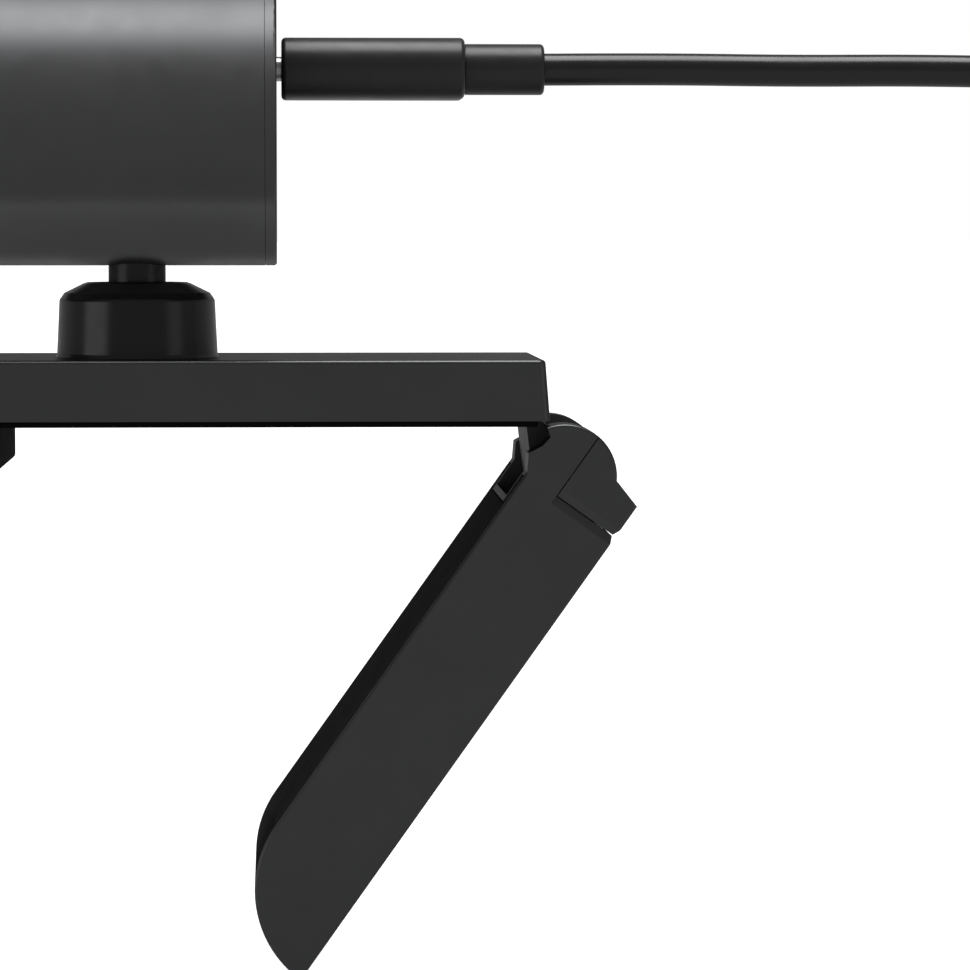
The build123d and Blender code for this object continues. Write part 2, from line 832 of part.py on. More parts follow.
# ================================================================ ball joint
with BuildPart() as socket_housing:
    with BuildSketch(Plane.XZ):
        with BuildLine():
            Polyline(
                (cup_r + fit_gap, housing_neck_low),
                (housing_neck_r, housing_neck_low),
                (housing_neck_r, plate_top),
                (housing_base_r, plate_top),
                (housing_low_r, plate_top + 0.35),
                (housing_high_r, housing_shoulder_z),
                (housing_top_r + 2.4, housing_shoulder_z + 0.75),
                (housing_top_r + 0.3, housing_top_z - 0.12),
                (housing_top_r - 0.1, housing_top_z),
                (housing_mouth_r, housing_top_z),
                (housing_mouth_r, ball_z + sqrt((ball_r + ball_gap) ** 2 - housing_mouth_r**2)),
            )
            seat_r = ball_r + ball_gap
            seat_top_angle = atan2(sqrt(seat_r**2 - housing_mouth_r**2), housing_mouth_r)
            ThreePointArc(
                (housing_mouth_r, ball_z + sqrt(seat_r**2 - housing_mouth_r**2)),
                (seat_r * cos(seat_top_angle / 2), ball_z + seat_r * sin(seat_top_angle / 2)),
                (seat_r, ball_z),
            )
            Polyline(
                (seat_r, ball_z),
                (cup_r + fit_gap, ball_z),
                (cup_r + fit_gap, housing_neck_low),
            )
        make_face()
    revolve(axis=Axis.Z)
    shoulder = socket_housing.edges().filter_by(GeomType.CIRCLE).filter_by(
        lambda e: abs(e.center().Z - housing_shoulder_z) < 0.01
    )
    fillet(shoulder, 0.5)
save(socket_housing.part, "socket_housing")

with BuildPart() as ring_nut:
    with BuildSketch(Plane.XY.offset(housing_neck_low - 0.1)):
        Circle(ring_nut_r)
        Circle(housing_neck_r + 0.04, mode=Mode.SUBTRACT)
        with Locations(ring_points(ring_nut_r, 4, 45)):
            Circle(1.1, mode=Mode.SUBTRACT)
    extrude(amount=plate_under_roof - housing_neck_low + 0.1)
save(ring_nut.part, "ring_nut")

with BuildPart() as friction_cup:
    with BuildSketch(Plane.XY.offset(cup_low)):
        Circle(cup_r)
    extrude(amount=cup_high - cup_low)
    with Locations((0, 0, ball_z)):
        Sphere(ball_r + ball_gap, mode=Mode.SUBTRACT)
    with BuildSketch(Plane.XY.offset(cup_low)):
        Circle(spring_inner_r - 0.4)
    extrude(amount=cup_high, mode=Mode.SUBTRACT)
save(friction_cup.part, "friction_cup")

spring_low = base_top
spring_high = cup_low - 0.05
spring_mid = (spring_low + spring_high) / 2
with BuildPart() as disc_springs:
    for low, high in ((spring_low, spring_mid), (spring_high, spring_mid)):
        step = spring_thickness if high > low else -spring_thickness
        with BuildSketch(Plane.XZ):
            with BuildLine():
                Polyline(
                    (spring_inner_r, low),
                    (spring_inner_r + 0.6, low),
                    (spring_outer_r, high - step),
                    (spring_outer_r, high),
                    (spring_outer_r - 0.6, high),
                    (spring_inner_r, low + step),
                    close=True,
                )
            make_face()
        revolve(axis=Axis.Z)
save(disc_springs.part, "disc_springs")

with BuildPart() as ball_stem:
    with Locations((0, 0, ball_z)):
        Sphere(ball_r)
    with BuildSketch(Plane.XY.offset(ball_z)):
        Circle(stem_r)
    extrude(amount=stem_shoulder_z - ball_z)
    with BuildSketch(Plane.XY.offset(stem_shoulder_z)):
        Circle(spindle_r)
    extrude(amount=saddle_top + fit_gap - stem_shoulder_z)
    with BuildSketch(Plane.XY.offset(ball_z)):
        Circle(stem_screw_shank_r + 0.02)
    extrude(amount=saddle_top - ball_z + 1, mode=Mode.SUBTRACT)
    with BuildSketch(Plane.XY.offset(ball_z - ball_r)):
        Circle(1.5)
    extrude(amount=1.2, mode=Mode.SUBTRACT)
save(ball_stem.part, "ball_stem")

washer_low = saddle_top + fit_gap
with BuildPart() as stem_washer:
    with BuildSketch(Plane.XY.offset(washer_low)):
        Circle(washer_r)
        Circle(stem_screw_shank_r + 0.05, mode=Mode.SUBTRACT)
    extrude(amount=washer_thickness)
save(stem_washer.part, "stem_washer")

with BuildPart() as stem_screw:
    with BuildSketch(Plane.XY.offset(washer_low + washer_thickness)):
        Circle(stem_screw_head_r)
    extrude(amount=stem_screw_head_height)
    with BuildSketch(Plane.XY.offset(ball_z + 1)):
        Circle(stem_screw_shank_r)
    extrude(amount=washer_low + washer_thickness - ball_z - 1)
    with BuildSketch(Plane.XY.offset(washer_low + washer_thickness + stem_screw_head_height)):
        RegularPolygon(1.45, 6)
    extrude(amount=-1.1, mode=Mode.SUBTRACT)
save(stem_screw.part, "stem_screw")

# ================================================================ barrel
inner_r = barrel_r - barrel_wall
ring_inner_r = inner_r - 0.3
spigot_inner_r = inner_r - 1.2
shell_front = barrel_front + front_ring_length + ring_seam
shell_rear = barrel_rear - rear_ring_length - ring_seam


def cross_plane(x):
    """Gives the plane across the barrel at x, centred on its axis, seen from the rear."""
    return Plane(origin=(x, 0, barrel_z), x_dir=(0, 1, 0), z_dir=(1, 0, 0))


with BuildPart() as barrel_shell:
    with BuildSketch(cross_plane(shell_front)):
        Circle(barrel_r)
        Circle(inner_r, mode=Mode.SUBTRACT)
    extrude(amount=shell_rear - shell_front)
    rims = barrel_shell.edges().filter_by(GeomType.CIRCLE).filter_by(
        lambda e: e.radius > barrel_r - 0.01
    )
    chamfer(rims, rim_chamfer)
    with BuildSketch(Plane.XY):
        Circle(stem_r + stem_hole_gap)
    extrude(amount=barrel_z, mode=Mode.SUBTRACT)
save(barrel_shell.part, "barrel_shell")

with BuildPart() as rear_ring:
    with BuildSketch(cross_plane(shell_rear + ring_seam)):
        Circle(barrel_r)
        Circle(ring_inner_r, mode=Mode.SUBTRACT)
    extrude(amount=rear_ring_length)
    with BuildSketch(cross_plane(shell_rear - spigot_length)):
        Circle(inner_r - fit_gap)
        Circle(spigot_inner_r, mode=Mode.SUBTRACT)
    extrude(amount=spigot_length + ring_seam + 0.3)
    rear_rim = rear_ring.edges().filter_by(GeomType.CIRCLE).filter_by(
        lambda e: e.radius > barrel_r - 0.01 and e.center().X > barrel_rear - 0.01
    )
    fillet(rear_rim, barrel_edge_r)
save(rear_ring.part, "rear_ring")

cover_rear = barrel_rear - cover_recess
with BuildPart() as rear_cover:
    with BuildSketch(cross_plane(cover_rear - cover_thickness)):
        Circle(spigot_inner_r - fit_gap)
    extrude(amount=cover_thickness)
    with BuildSketch(cross_plane(cover_rear - cover_flange)):
        Circle(ring_inner_r - fit_gap)
    extrude(amount=cover_flange)
    with BuildSketch(cross_plane(cover_rear - cover_thickness - cover_skirt)):
        Circle(spigot_inner_r - fit_gap)
        Circle(spigot_inner_r - 1.8, mode=Mode.SUBTRACT)
    extrude(amount=cover_skirt)
    with BuildSketch(cross_plane(barrel_rear - 12)):
        mouth = usb_height + 2 * (usb_wall + usb_gap)
        SlotOverall(usb_width + 2 * (usb_wall + usb_gap), mouth)
    extrude(amount=24, mode=Mode.SUBTRACT)
    waist = rear_cover.edges().filter_by(GeomType.CIRCLE).filter_by(
        lambda e: e.center().X > cover_rear - 0.01 and e.radius > 10
    )
    chamfer(waist, 0.25)
save(rear_cover.part, "rear_cover")

socket_front = cover_rear - socket_depth - 1.2
with BuildPart() as usb_socket:
    with BuildSketch(cross_plane(socket_front)):
        SlotOverall(usb_width + 2 * usb_wall, usb_height + 2 * usb_wall)
    extrude(amount=cover_rear - 0.2 - socket_front)
    with BuildSketch(cross_plane(cover_rear - 0.2)):
        SlotOverall(usb_width + 2 * usb_gap, usb_height + 2 * usb_gap)
    extrude(amount=-socket_depth, mode=Mode.SUBTRACT)
    with BuildSketch(cross_plane(cover_rear - 1.2)):
        Rectangle(6.4, 0.7)
    extrude(amount=-(socket_depth - 1))
    with BuildSketch(Plane.XY.offset(board_z + board_thickness)):
        with Locations(((socket_front + board_rear) / 2, 0)):
            Rectangle(board_rear - socket_front, usb_width - usb_height)
    extrude(amount=barrel_z - usb_height / 2 - board_z - board_thickness - usb_wall / 2)
save(usb_socket.part, "usb_socket")

with BuildPart() as front_ring:
    with BuildSketch(cross_plane(barrel_front)):
        Circle(barrel_r)
        Circle(inner_r - 0.2, mode=Mode.SUBTRACT)
    extrude(amount=front_ring_length)
    with BuildSketch(cross_plane(barrel_front + glass_recess + glass_thickness)):
        Circle(inner_r - 0.1)
        Circle(inner_r - 1.4, mode=Mode.SUBTRACT)
    extrude(amount=front_ring_length + 1.6 - glass_recess - glass_thickness)
    front_rim = front_ring.edges().filter_by(GeomType.CIRCLE).filter_by(
        lambda e: e.radius > barrel_r - 0.01 and e.center().X < barrel_front + 0.01
    )
    fillet(front_rim, barrel_edge_r)
save(front_ring.part, "front_ring")

glass_x = barrel_front + glass_recess
with BuildPart() as front_glass:
    with BuildSketch(cross_plane(glass_x)):
        Circle(inner_r - 0.3)
    extrude(amount=glass_thickness)
    chamfer(front_glass.edges().filter_by(GeomType.CIRCLE).sort_by(Axis.X)[0], 0.2)
save(front_glass.part, "front_glass")

trim_front = glass_x + glass_thickness
with BuildPart() as lens_trim:
    with BuildSketch(Plane.XZ):
        with BuildLine():
            Polyline(
                (trim_front, barrel_z + lens_r + 0.8),
                (trim_front, barrel_z + trim_r),
                (trim_front + trim_length, barrel_z + trim_r),
                (trim_front + trim_length, barrel_z + trim_r - 1.0),
                (trim_front + 1.0, barrel_z + trim_r - 1.0),
                (trim_front + 1.0, barrel_z + lens_r + 0.8),
                close=True,
            )
        make_face()
    revolve(axis=Axis((0, 0, barrel_z), (1, 0, 0)))
save(lens_trim.part, "lens_trim")

with BuildPart() as lens_barrel:
    with BuildSketch(Plane.XZ):
        with BuildLine():
            Polyline(
                (lens_front, barrel_z + front_lens_r),
                (lens_front, barrel_z + lens_r - 0.4),
                (lens_front + 0.4, barrel_z + lens_r),
                (lens_front + 5.6, barrel_z + lens_r),
                (lens_front + 5.6, barrel_z + lens_r - 1.2),
                (lens_rear, barrel_z + lens_r - 1.2),
                (lens_rear, barrel_z + rear_lens_r),
                (lens_rear - 4.4, barrel_z + rear_lens_r),
                (lens_front + 3.4, barrel_z + front_lens_r),
                close=True,
            )
        make_face()
    revolve(axis=Axis((0, 0, barrel_z), (1, 0, 0)))
save(lens_barrel.part, "lens_barrel")

dome_edge_r = front_lens_r - 0.05
dome_r = (dome_edge_r**2 + dome_rise**2) / (2 * dome_rise)
dome_half = atan2(dome_edge_r, dome_r - dome_rise)
dome_front = lens_front - dome_rise / 2
dome_mid = (
    dome_front + dome_r - dome_r * cos(dome_half / 2),
    barrel_z + dome_r * sin(dome_half / 2),
)
with BuildPart() as front_lens:
    with BuildSketch(Plane.XZ):
        with BuildLine():
            Polyline(
                (dome_front, barrel_z),
                (lens_front + front_lens_length, barrel_z),
                (lens_front + front_lens_length, barrel_z + dome_edge_r),
                (dome_front + dome_rise, barrel_z + dome_edge_r),
            )
            ThreePointArc(
                (dome_front + dome_rise, barrel_z + dome_edge_r),
                dome_mid,
                (dome_front, barrel_z),
            )
        make_face()
    revolve(axis=Axis((0, 0, barrel_z), (1, 0, 0)))
save(front_lens.part, "front_lens")

with BuildPart() as rear_lens:
    with BuildSketch(cross_plane(lens_rear - 4.2)):
        Circle(rear_lens_r - 0.05)
    extrude(amount=3.2)
    fillet(rear_lens.edges().filter_by(GeomType.CIRCLE).sort_by(Axis.X)[-1], 0.8)
save(rear_lens.part, "rear_lens")

holder_rear = sensor_board_x
holder_front = holder_rear - holder_size[0]
with BuildPart() as focus_motor:
    with BuildSketch(cross_plane(holder_front)):
        RectangleRounded(holder_size[1], holder_size[2], 1.2)
    extrude(amount=holder_size[0])
    with BuildSketch(cross_plane(holder_front)):
        Circle(lens_r - 1.2 + lens_running_gap)
    extrude(amount=holder_size[0], mode=Mode.SUBTRACT)
    with BuildSketch(cross_plane(holder_front)):
        Circle(lens_r + lens_running_gap)
    extrude(amount=2.6, mode=Mode.SUBTRACT)
    with BuildSketch(cross_plane(holder_rear)):
        Rectangle(sensor_size[1] + 1.4, sensor_size[2] + 1.4)
    extrude(amount=-(sensor_size[0] + 0.4), mode=Mode.SUBTRACT)
save(focus_motor.part, "focus_motor")

with BuildPart() as image_sensor:
    with BuildSketch(cross_plane(sensor_board_x)):
        Rectangle(sensor_size[1], sensor_size[2])
    extrude(amount=-sensor_size[0])
save(image_sensor.part, "image_sensor")

half_board = sensor_board_size / 2
post_spots = [(sy * 11.0, sz * 11.0) for sy in (-1, 1) for sz in (-1, 1)]
with BuildPart() as sensor_board:
    with BuildSketch(cross_plane(sensor_board_x)):
        RectangleRounded(sensor_board_size, sensor_board_size, 2.0)
        with Locations(post_spots):
            Circle(screw_shank_r + fit_gap, mode=Mode.SUBTRACT)
    extrude(amount=board_thickness)
save(sensor_board.part, "sensor_board")

# ================================================================ inside the barrel
with BuildPart() as stem_saddle:
    with BuildSketch(Plane.XY.offset(barrel_z - barrel_r)):
        Rectangle(saddle_length, saddle_width)
    extrude(amount=saddle_top - barrel_z + barrel_r)
    with BuildSketch(cross_plane(-saddle_length)):
        Circle(inner_r - 0.03)
    extrude(amount=2 * saddle_length, mode=Mode.INTERSECT)
    with BuildSketch(Plane.XY):
        Circle(stem_r + stem_hole_gap)
    extrude(amount=stem_shoulder_z + 0.05, mode=Mode.SUBTRACT)
    with BuildSketch(Plane.XY):
        Circle(spindle_r + 0.05)
    extrude(amount=saddle_top + 1, mode=Mode.SUBTRACT)
    saddle_spots = [(-5.2, 0), (5.2, 0)]
    with BuildSketch(Plane.XY):
        with Locations(saddle_spots):
            Circle(screw_shank_r)
    extrude(amount=saddle_top + 1, mode=Mode.SUBTRACT)
save(stem_saddle.part, "stem_saddle")

chassis_foot_top = barrel_z - inner_r + 3.2
with BuildPart() as inner_chassis:
    with BuildSketch(cross_plane(chassis_front)):
        Circle(inner_r - fit_gap)
        Circle(inner_r - fit_gap - chassis_wall, mode=Mode.SUBTRACT)
        with Locations((0, inner_r - (barrel_z - board_z) / 2)):
            Rectangle(4 * inner_r, 2 * inner_r + barrel_z - board_z, mode=Mode.SUBTRACT)
        with Locations((0, board_z - deck_thickness / 2 - barrel_z)):
            deck_drop = barrel_z - board_z + deck_thickness
            deck_width = 2 * sqrt((inner_r - 2 * fit_gap) ** 2 - deck_drop**2)
            Rectangle(deck_width, deck_thickness)
    extrude(amount=chassis_rear - chassis_front)
    with BuildSketch(Plane.XY):
        Rectangle(saddle_length + 0.8, saddle_width + 0.8)
    extrude(amount=board_z - 3.0, mode=Mode.SUBTRACT)
    with BuildSketch(cross_plane(chassis_front)):
        Rectangle(holder_size[1] + 12, holder_size[2] + 12)
    extrude(amount=holder_rear + board_thickness + 0.6 - chassis_front, mode=Mode.SUBTRACT)
    with BuildSketch(Plane.XY.offset(board_z)):
        board_spots = [(-46.0, 13.0), (-46.0, -13.0), (4.0, 13.0), (4.0, -13.0)]
        with Locations(board_spots):
            Circle(screw_shank_r)
    extrude(amount=-2.5, mode=Mode.SUBTRACT)
save(inner_chassis.part, "inner_chassis")

with BuildPart() as main_board:
    with BuildSketch(Plane.XY.offset(board_z)):
        with Locations(((board_front + board_rear) / 2, 0)):
            RectangleRounded(board_rear - board_front, 2 * board_half_width, 1.5)
        with Locations(board_spots):
            Circle(screw_shank_r + fit_gap, mode=Mode.SUBTRACT)
    extrude(amount=board_thickness)
save(main_board.part, "main_board")

board_top = board_z + board_thickness
with BuildPart() as board_screws:
    with BuildSketch(Plane.XY.offset(board_top)):
        with Locations(board_spots):
            Circle(screw_head_r)
    extrude(amount=screw_head_height)
    with BuildSketch(Plane.XY.offset(board_top)):
        with Locations(board_spots):
            Circle(screw_shank_r - 0.03)
    extrude(amount=-3.0)
save(board_screws.part, "board_screws")

with BuildPart() as image_processor:
    with BuildSketch(Plane.XY.offset(board_top)):
        with Locations((-28, 0)):
            RectangleRounded(14, 14, 0.6)
    extrude(amount=1.4)
save(image_processor.part, "image_processor")

with BuildPart() as heat_pad:
    with BuildSketch(Plane.XY.offset(board_top + 1.4)):
        with Locations((-28, 0)):
            Rectangle(13, 13)
    extrude(amount=1.2)
save(heat_pad.part, "heat_pad")

with BuildPart() as heat_spreader:
    spreader_low = board_top + 2.6
    with BuildSketch(cross_plane(-44)):
        Circle(inner_r - fit_gap)
        Circle(inner_r - fit_gap - 1.6, mode=Mode.SUBTRACT)
        with Locations((0, -inner_r + (spreader_low - barrel_z))):
            Rectangle(4 * inner_r, 2 * inner_r, mode=Mode.SUBTRACT)
        with Locations((0, spreader_low - barrel_z + 0.8)):
            Rectangle(2 * sqrt((inner_r - 0.6) ** 2 - (spreader_low + 1.6 - barrel_z) ** 2), 1.6)
    extrude(amount=34)
save(heat_spreader.part, "heat_spreader")

with BuildPart() as front_board:
    with BuildSketch(cross_plane(front_board_x)):
        Circle(front_board_outer_r)
        Circle(front_board_inner_r, mode=Mode.SUBTRACT)
    extrude(amount=board_thickness)
save(front_board.part, "front_board")

with BuildPart() as front_carrier:
    carrier_front = barrel_front + front_ring_length + 1.6
    with BuildSketch(cross_plane(carrier_front)):
        Circle(inner_r - fit_gap)
        Circle(inner_r - fit_gap - chassis_wall, mode=Mode.SUBTRACT)
    extrude(amount=chassis_front - fit_gap - carrier_front)
    with BuildSketch(cross_plane(front_board_x + board_thickness)):
        Circle(inner_r - fit_gap)
        Circle(front_board_outer_r - 2.0, mode=Mode.SUBTRACT)
    extrude(amount=1.2)
save(front_carrier.part, "front_carrier")

mic_spots = [(sy * 13.5, 5.0) for sy in (-1, 1)]
with BuildPart() as microphones:
    with BuildSketch(cross_plane(front_board_x)):
        with Locations(mic_spots):
            Rectangle(3.5, 2.65)
    extrude(amount=-1.1)
save(microphones.part, "microphones")

with BuildPart() as status_light:
    with BuildSketch(cross_plane(front_board_x)):
        with Locations((0, 14.2)):
            Rectangle(1.6, 0.9)
    extrude(amount=-0.7)
save(status_light.part, "status_light")

with BuildPart() as light_pipe:
    with BuildSketch(cross_plane(front_board_x - 0.7)):
        with Locations((0, 14.2)):
            Circle(1.0)
    extrude(amount=-(front_board_x - 0.7 - trim_front))
save(light_pipe.part, "light_pipe")

# ================================================================ USB-C plug
with BuildPart() as usb_plug_shell:
    with BuildSketch(cross_plane(cover_rear - socket_depth + 0.3)):
        SlotOverall(usb_width, usb_height)
        SlotOverall(usb_width - 2 * usb_wall, usb_height - 2 * usb_wall, mode=Mode.SUBTRACT)
    extrude(amount=overmould_front - cover_rear + socket_depth - 0.3)
save(usb_plug_shell.part, "usb_plug_shell")

with BuildPart() as plug_overmould:
    with BuildSketch(cross_plane(overmould_front)):
        SlotOverall(overmould_width, overmould_height)
    extrude(amount=overmould_rear - overmould_front)
    fillet(plug_overmould.faces().sort_by(Axis.X)[0].edges(), overmould_edge_r)
    fillet(plug_overmould.faces().sort_by(Axis.X)[-1].edges(), overmould_edge_r)
save(plug_overmould.part, "plug_overmould")

with BuildPart() as strain_relief:
    with BuildSketch(cross_plane(overmould_rear)):
        Circle(relief_r - 0.35)
    extrude(amount=relief_front - overmould_rear)
    with BuildSketch(cross_plane(relief_front)):
        Circle(relief_r)
    extrude(amount=relief_rear - relief_front)
    fillet(strain_relief.faces().sort_by(Axis.X)[-1].edges(), 0.45)
save(strain_relief.part, "strain_relief")

# ================================================================ cord
vectors = [Vector(*p) for p in cord_points]
cord_radii = []
for before, here, after in zip(vectors, vectors[1:], vectors[2:]):
    arriving = here - before
    leaving = after - here
    half_turn = radians(arriving.get_angle(leaving)) / 2
    shorter = min(arriving.length, leaving.length)
    cord_radii.append(0.45 * shorter / tan(half_turn))
print("cord radii", [round(r, 1) for r in cord_radii])

with BuildPart() as cord_tube:
    with BuildLine() as cord_path:
        FilletPolyline(*cord_points, radius=cord_radii)
    with BuildSketch(Plane(origin=cord_points[0], x_dir=(0, 1, 0), z_dir=(1, 0, 0))):
        Circle(cord_r)
    sweep()
save(cord_tube.part, "cord_tube")
tube_length = cord_path.wires()[0].length
print("tube length", round(tube_length, 1))
print("tube volume ratio", round(cord_tube.part.volume / (pi * cord_r**2 * tube_length), 5))

coil_mid_z = surface_z + coil_height / 2
coil_axis = Axis((coil_x, coil_y, 0), (0, 0, 1))
coil_plane = Plane(origin=(coil_x, coil_y, 0), x_dir=(1, 0, 0), z_dir=(0, -1, 0))
coil_mid_r = (coil_inner_r + coil_outer_r) / 2
coil_width = coil_outer_r - coil_inner_r
tie_dir = (cos(radians(tie_angle)), sin(radians(tie_angle)), 0)
tie_centre = (
    coil_x + coil_mid_r * tie_dir[0],
    coil_y + coil_mid_r * tie_dir[1],
    coil_mid_z,
)
tie_plane = Plane(origin=tie_centre, x_dir=tie_dir, z_dir=(-tie_dir[1], tie_dir[0], 0))

with BuildPart() as cord_coil:
    with BuildSketch(coil_plane):
        with Locations((coil_mid_r, coil_mid_z)):
            RectangleRounded(coil_width, coil_height, coil_round)
    revolve(axis=coil_axis)
    with BuildSketch(tie_plane.offset(-tie_width / 2 - fit_gap)):
        Rectangle(2 * coil_width, 2 * coil_height)
        waist_w = coil_width - 2 * (tie_thickness + fit_gap)
        waist_h = coil_height - 2 * (tie_thickness + fit_gap)
        RectangleRounded(waist_w, waist_h, coil_round - 1, mode=Mode.SUBTRACT)
    extrude(amount=tie_width + 2 * fit_gap, mode=Mode.SUBTRACT)
save(cord_coil.part, "cord_coil")

with BuildPart() as cable_tie:
    with BuildSketch(tie_plane.offset(-tie_width / 2)):
        RectangleRounded(coil_width, coil_height, coil_round)
        RectangleRounded(waist_w + 0.1, waist_h + 0.1, coil_round - 1, mode=Mode.SUBTRACT)
    extrude(amount=tie_width)
save(cable_tie.part, "cable_tie")

# ================================================================ far plug, lying on the coil
mould_length, mould_width, mould_height = usb_a_mould
shell_length, shell_width, shell_height = usb_a_shell
usb_a_z = surface_z + coil_height + mould_height / 2
usb_a_y = coil_y
mould_low_x = usb_a_x - mould_length / 2
with BuildPart() as usb_a_overmould:
    mould_plane = Plane(origin=(mould_low_x, usb_a_y, usb_a_z), x_dir=(0, 1, 0), z_dir=(1, 0, 0))
    with BuildSketch(mould_plane):
        RectangleRounded(mould_width, mould_height, 1.6)
    extrude(amount=mould_length)
    fillet(usb_a_overmould.faces().sort_by(Axis.X)[0].edges(), 1.0)
save(usb_a_overmould.part, "usb_a_overmould")

with BuildPart() as usb_a_metal:
    with BuildSketch(mould_plane.offset(mould_length)):
        Rectangle(shell_width, shell_height)
        Rectangle(
            shell_width - 2 * usb_a_wall,
            shell_height - 2 * usb_a_wall,
            mode=Mode.SUBTRACT,
        )
    extrude(amount=shell_length)
    with BuildSketch(mould_plane.offset(mould_length)):
        with Locations((0, shell_height / 2 - usb_a_wall - 0.95)):
            Rectangle(shell_width - 2 * usb_a_wall, 1.9)
    extrude(amount=shell_length - 0.8)
save(usb_a_metal.part, "usb_a_metal")
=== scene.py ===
"""Looks of a cylindrical webcam on a folding monitor clip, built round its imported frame.

Lengths are in metres in the frame's own axes: +Z is up, -X is the way the lens looks and
X-Z is the plane of symmetry. Each sub-assembly is a class, and each finish is a dataclass.
"""

import logging
from dataclasses import dataclass, field
from enum import Enum

import bmesh
import bpy
import numpy as np
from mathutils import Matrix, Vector


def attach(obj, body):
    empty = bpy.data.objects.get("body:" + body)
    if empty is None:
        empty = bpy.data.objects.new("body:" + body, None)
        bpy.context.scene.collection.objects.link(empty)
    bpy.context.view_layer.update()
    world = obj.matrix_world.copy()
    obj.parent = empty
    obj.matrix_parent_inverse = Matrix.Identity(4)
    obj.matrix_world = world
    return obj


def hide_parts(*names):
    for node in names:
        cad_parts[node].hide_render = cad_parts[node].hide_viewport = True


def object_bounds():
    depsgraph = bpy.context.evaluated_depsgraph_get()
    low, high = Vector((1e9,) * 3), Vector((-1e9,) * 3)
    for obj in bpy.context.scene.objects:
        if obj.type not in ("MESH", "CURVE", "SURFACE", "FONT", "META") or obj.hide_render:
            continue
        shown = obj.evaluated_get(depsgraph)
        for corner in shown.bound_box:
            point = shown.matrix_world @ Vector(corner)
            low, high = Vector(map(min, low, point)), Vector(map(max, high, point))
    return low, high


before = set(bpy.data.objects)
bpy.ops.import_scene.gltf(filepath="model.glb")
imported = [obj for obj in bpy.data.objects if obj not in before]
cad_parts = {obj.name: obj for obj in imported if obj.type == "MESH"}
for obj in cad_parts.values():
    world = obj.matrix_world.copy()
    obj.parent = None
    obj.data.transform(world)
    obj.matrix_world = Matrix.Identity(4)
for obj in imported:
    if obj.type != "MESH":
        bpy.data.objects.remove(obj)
CAD_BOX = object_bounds()
LOG = logging.getLogger("webcam")

Tree = bpy.types.NodeTree
Node = bpy.types.Node
Socket = bpy.types.NodeSocket

MM = 0.001
WELD = 1e-7  # metres within which points of a new mesh are one
CAD_WELD = 1e-6  # the same in a copy of a frame node's mesh
FLAT_TURN = 0.02  # radians within which neighbouring faces make one flat face
CREASE = 0.6  # radians past which an edge stays sharp
PATTERN_SPAN = (0.3, 0.7)  # where most of a pattern's values lie
WAVE_TURN = 0.314  # a wave pattern's scale times its pitch, about a tenth of pi
WHITE = (1.0, 1.0, 1.0, 1.0)


class Body(Enum):
    """The frame's moving bodies."""

    CLIP = "clip_base"
    LEG = "leg"
    CAMERA = "camera"


# ---------------------------------------------------------------- surfaces
def smoothstep(t: np.ndarray) -> np.ndarray:
    """Eases from 0 to 1: three times t squared minus two times t cubed, with t kept in 0 to 1.

    Args:
        t: where along the change, 0 at its start and 1 at its end.

    Returns:
        The eased share.
    """
    t = np.clip(t, 0.0, 1.0)
    return t * t * (3.0 - 2.0 * t)


def rounded_loop(width: float, height: float, radius: float, steps: int) -> np.ndarray:
    """Outline of a rounded rectangle: four corner arcs, each a centre plus radius times (cos, sin).

    Args:
        width: full size along the first axis.
        height: full size along the second axis.
        radius: corner radius.
        steps: segments in each corner arc.

    Returns:
        Points of the closed loop, counter-clockwise, shape (4 * (steps + 1), 2).
    """
    quarter = np.linspace(0.0, np.pi / 2, steps + 1)
    turns = np.arange(4)[:, None] * np.pi / 2 + quarter[None, :]
    sign_x = np.array([1, -1, -1, 1])[:, None]
    sign_y = np.array([1, 1, -1, -1])[:, None]
    xs = sign_x * (width / 2 - radius) + radius * np.cos(turns)
    ys = sign_y * (height / 2 - radius) + radius * np.sin(turns)
    return np.stack([xs.ravel(), ys.ravel()], axis=1)


def ring_quads(rows: int, columns: int) -> np.ndarray:
    """Quads between neighbours of a grid that closes both ways, numbered row times columns plus column.

    Args:
        rows: number of rows.
        columns: number of columns.

    Returns:
        Vertex numbers of each quad, shape (n, 4).
    """
    i = np.arange(rows)[:, None]
    j = np.arange(columns)[None, :]
    i_next, j_next = (i + 1) % rows, (j + 1) % columns
    corners = [i * columns + j, i * columns + j_next, i_next * columns + j_next, i_next * columns + j]
    return np.stack([c.ravel() for c in corners], axis=1)


def mesh_piece(name: str, points: np.ndarray, faces: list[list[int]]) -> bpy.types.Object:
    """Makes an object from points and faces, with doubles merged and its normals turned outwards.

    Args:
        name: the piece's name.
        points: vertex places, shape (n, 3).
        faces: vertex numbers of each face.

    Returns:
        The linked object, at the origin.
    """
    mesh = bpy.data.meshes.new(name)
    mesh.from_pydata(points.tolist(), [], faces)
    work = bmesh.new()
    work.from_mesh(mesh)
    bmesh.ops.remove_doubles(work, verts=work.verts, dist=WELD)
    bmesh.ops.recalc_face_normals(work, faces=work.faces)
    work.to_mesh(mesh)
    work.free()
    mesh.polygons.foreach_set("use_smooth", np.ones(len(mesh.polygons), bool))
    mesh.set_sharp_from_angle(angle=CREASE)
    piece = bpy.data.objects.new(name, mesh)
    bpy.context.scene.collection.objects.link(piece)
    return piece


def band_piece(name: str, rings: np.ndarray) -> bpy.types.Object:
    """Skins closed sections carried round a closed path, the last joined to the first.

    Args:
        name: the piece's name.
        rings: each section's points, shape (rows, columns, 3).

    Returns:
        The object.
    """
    rows, columns, _ = rings.shape
    return mesh_piece(name, rings.reshape(-1, 3), ring_quads(rows, columns).tolist())


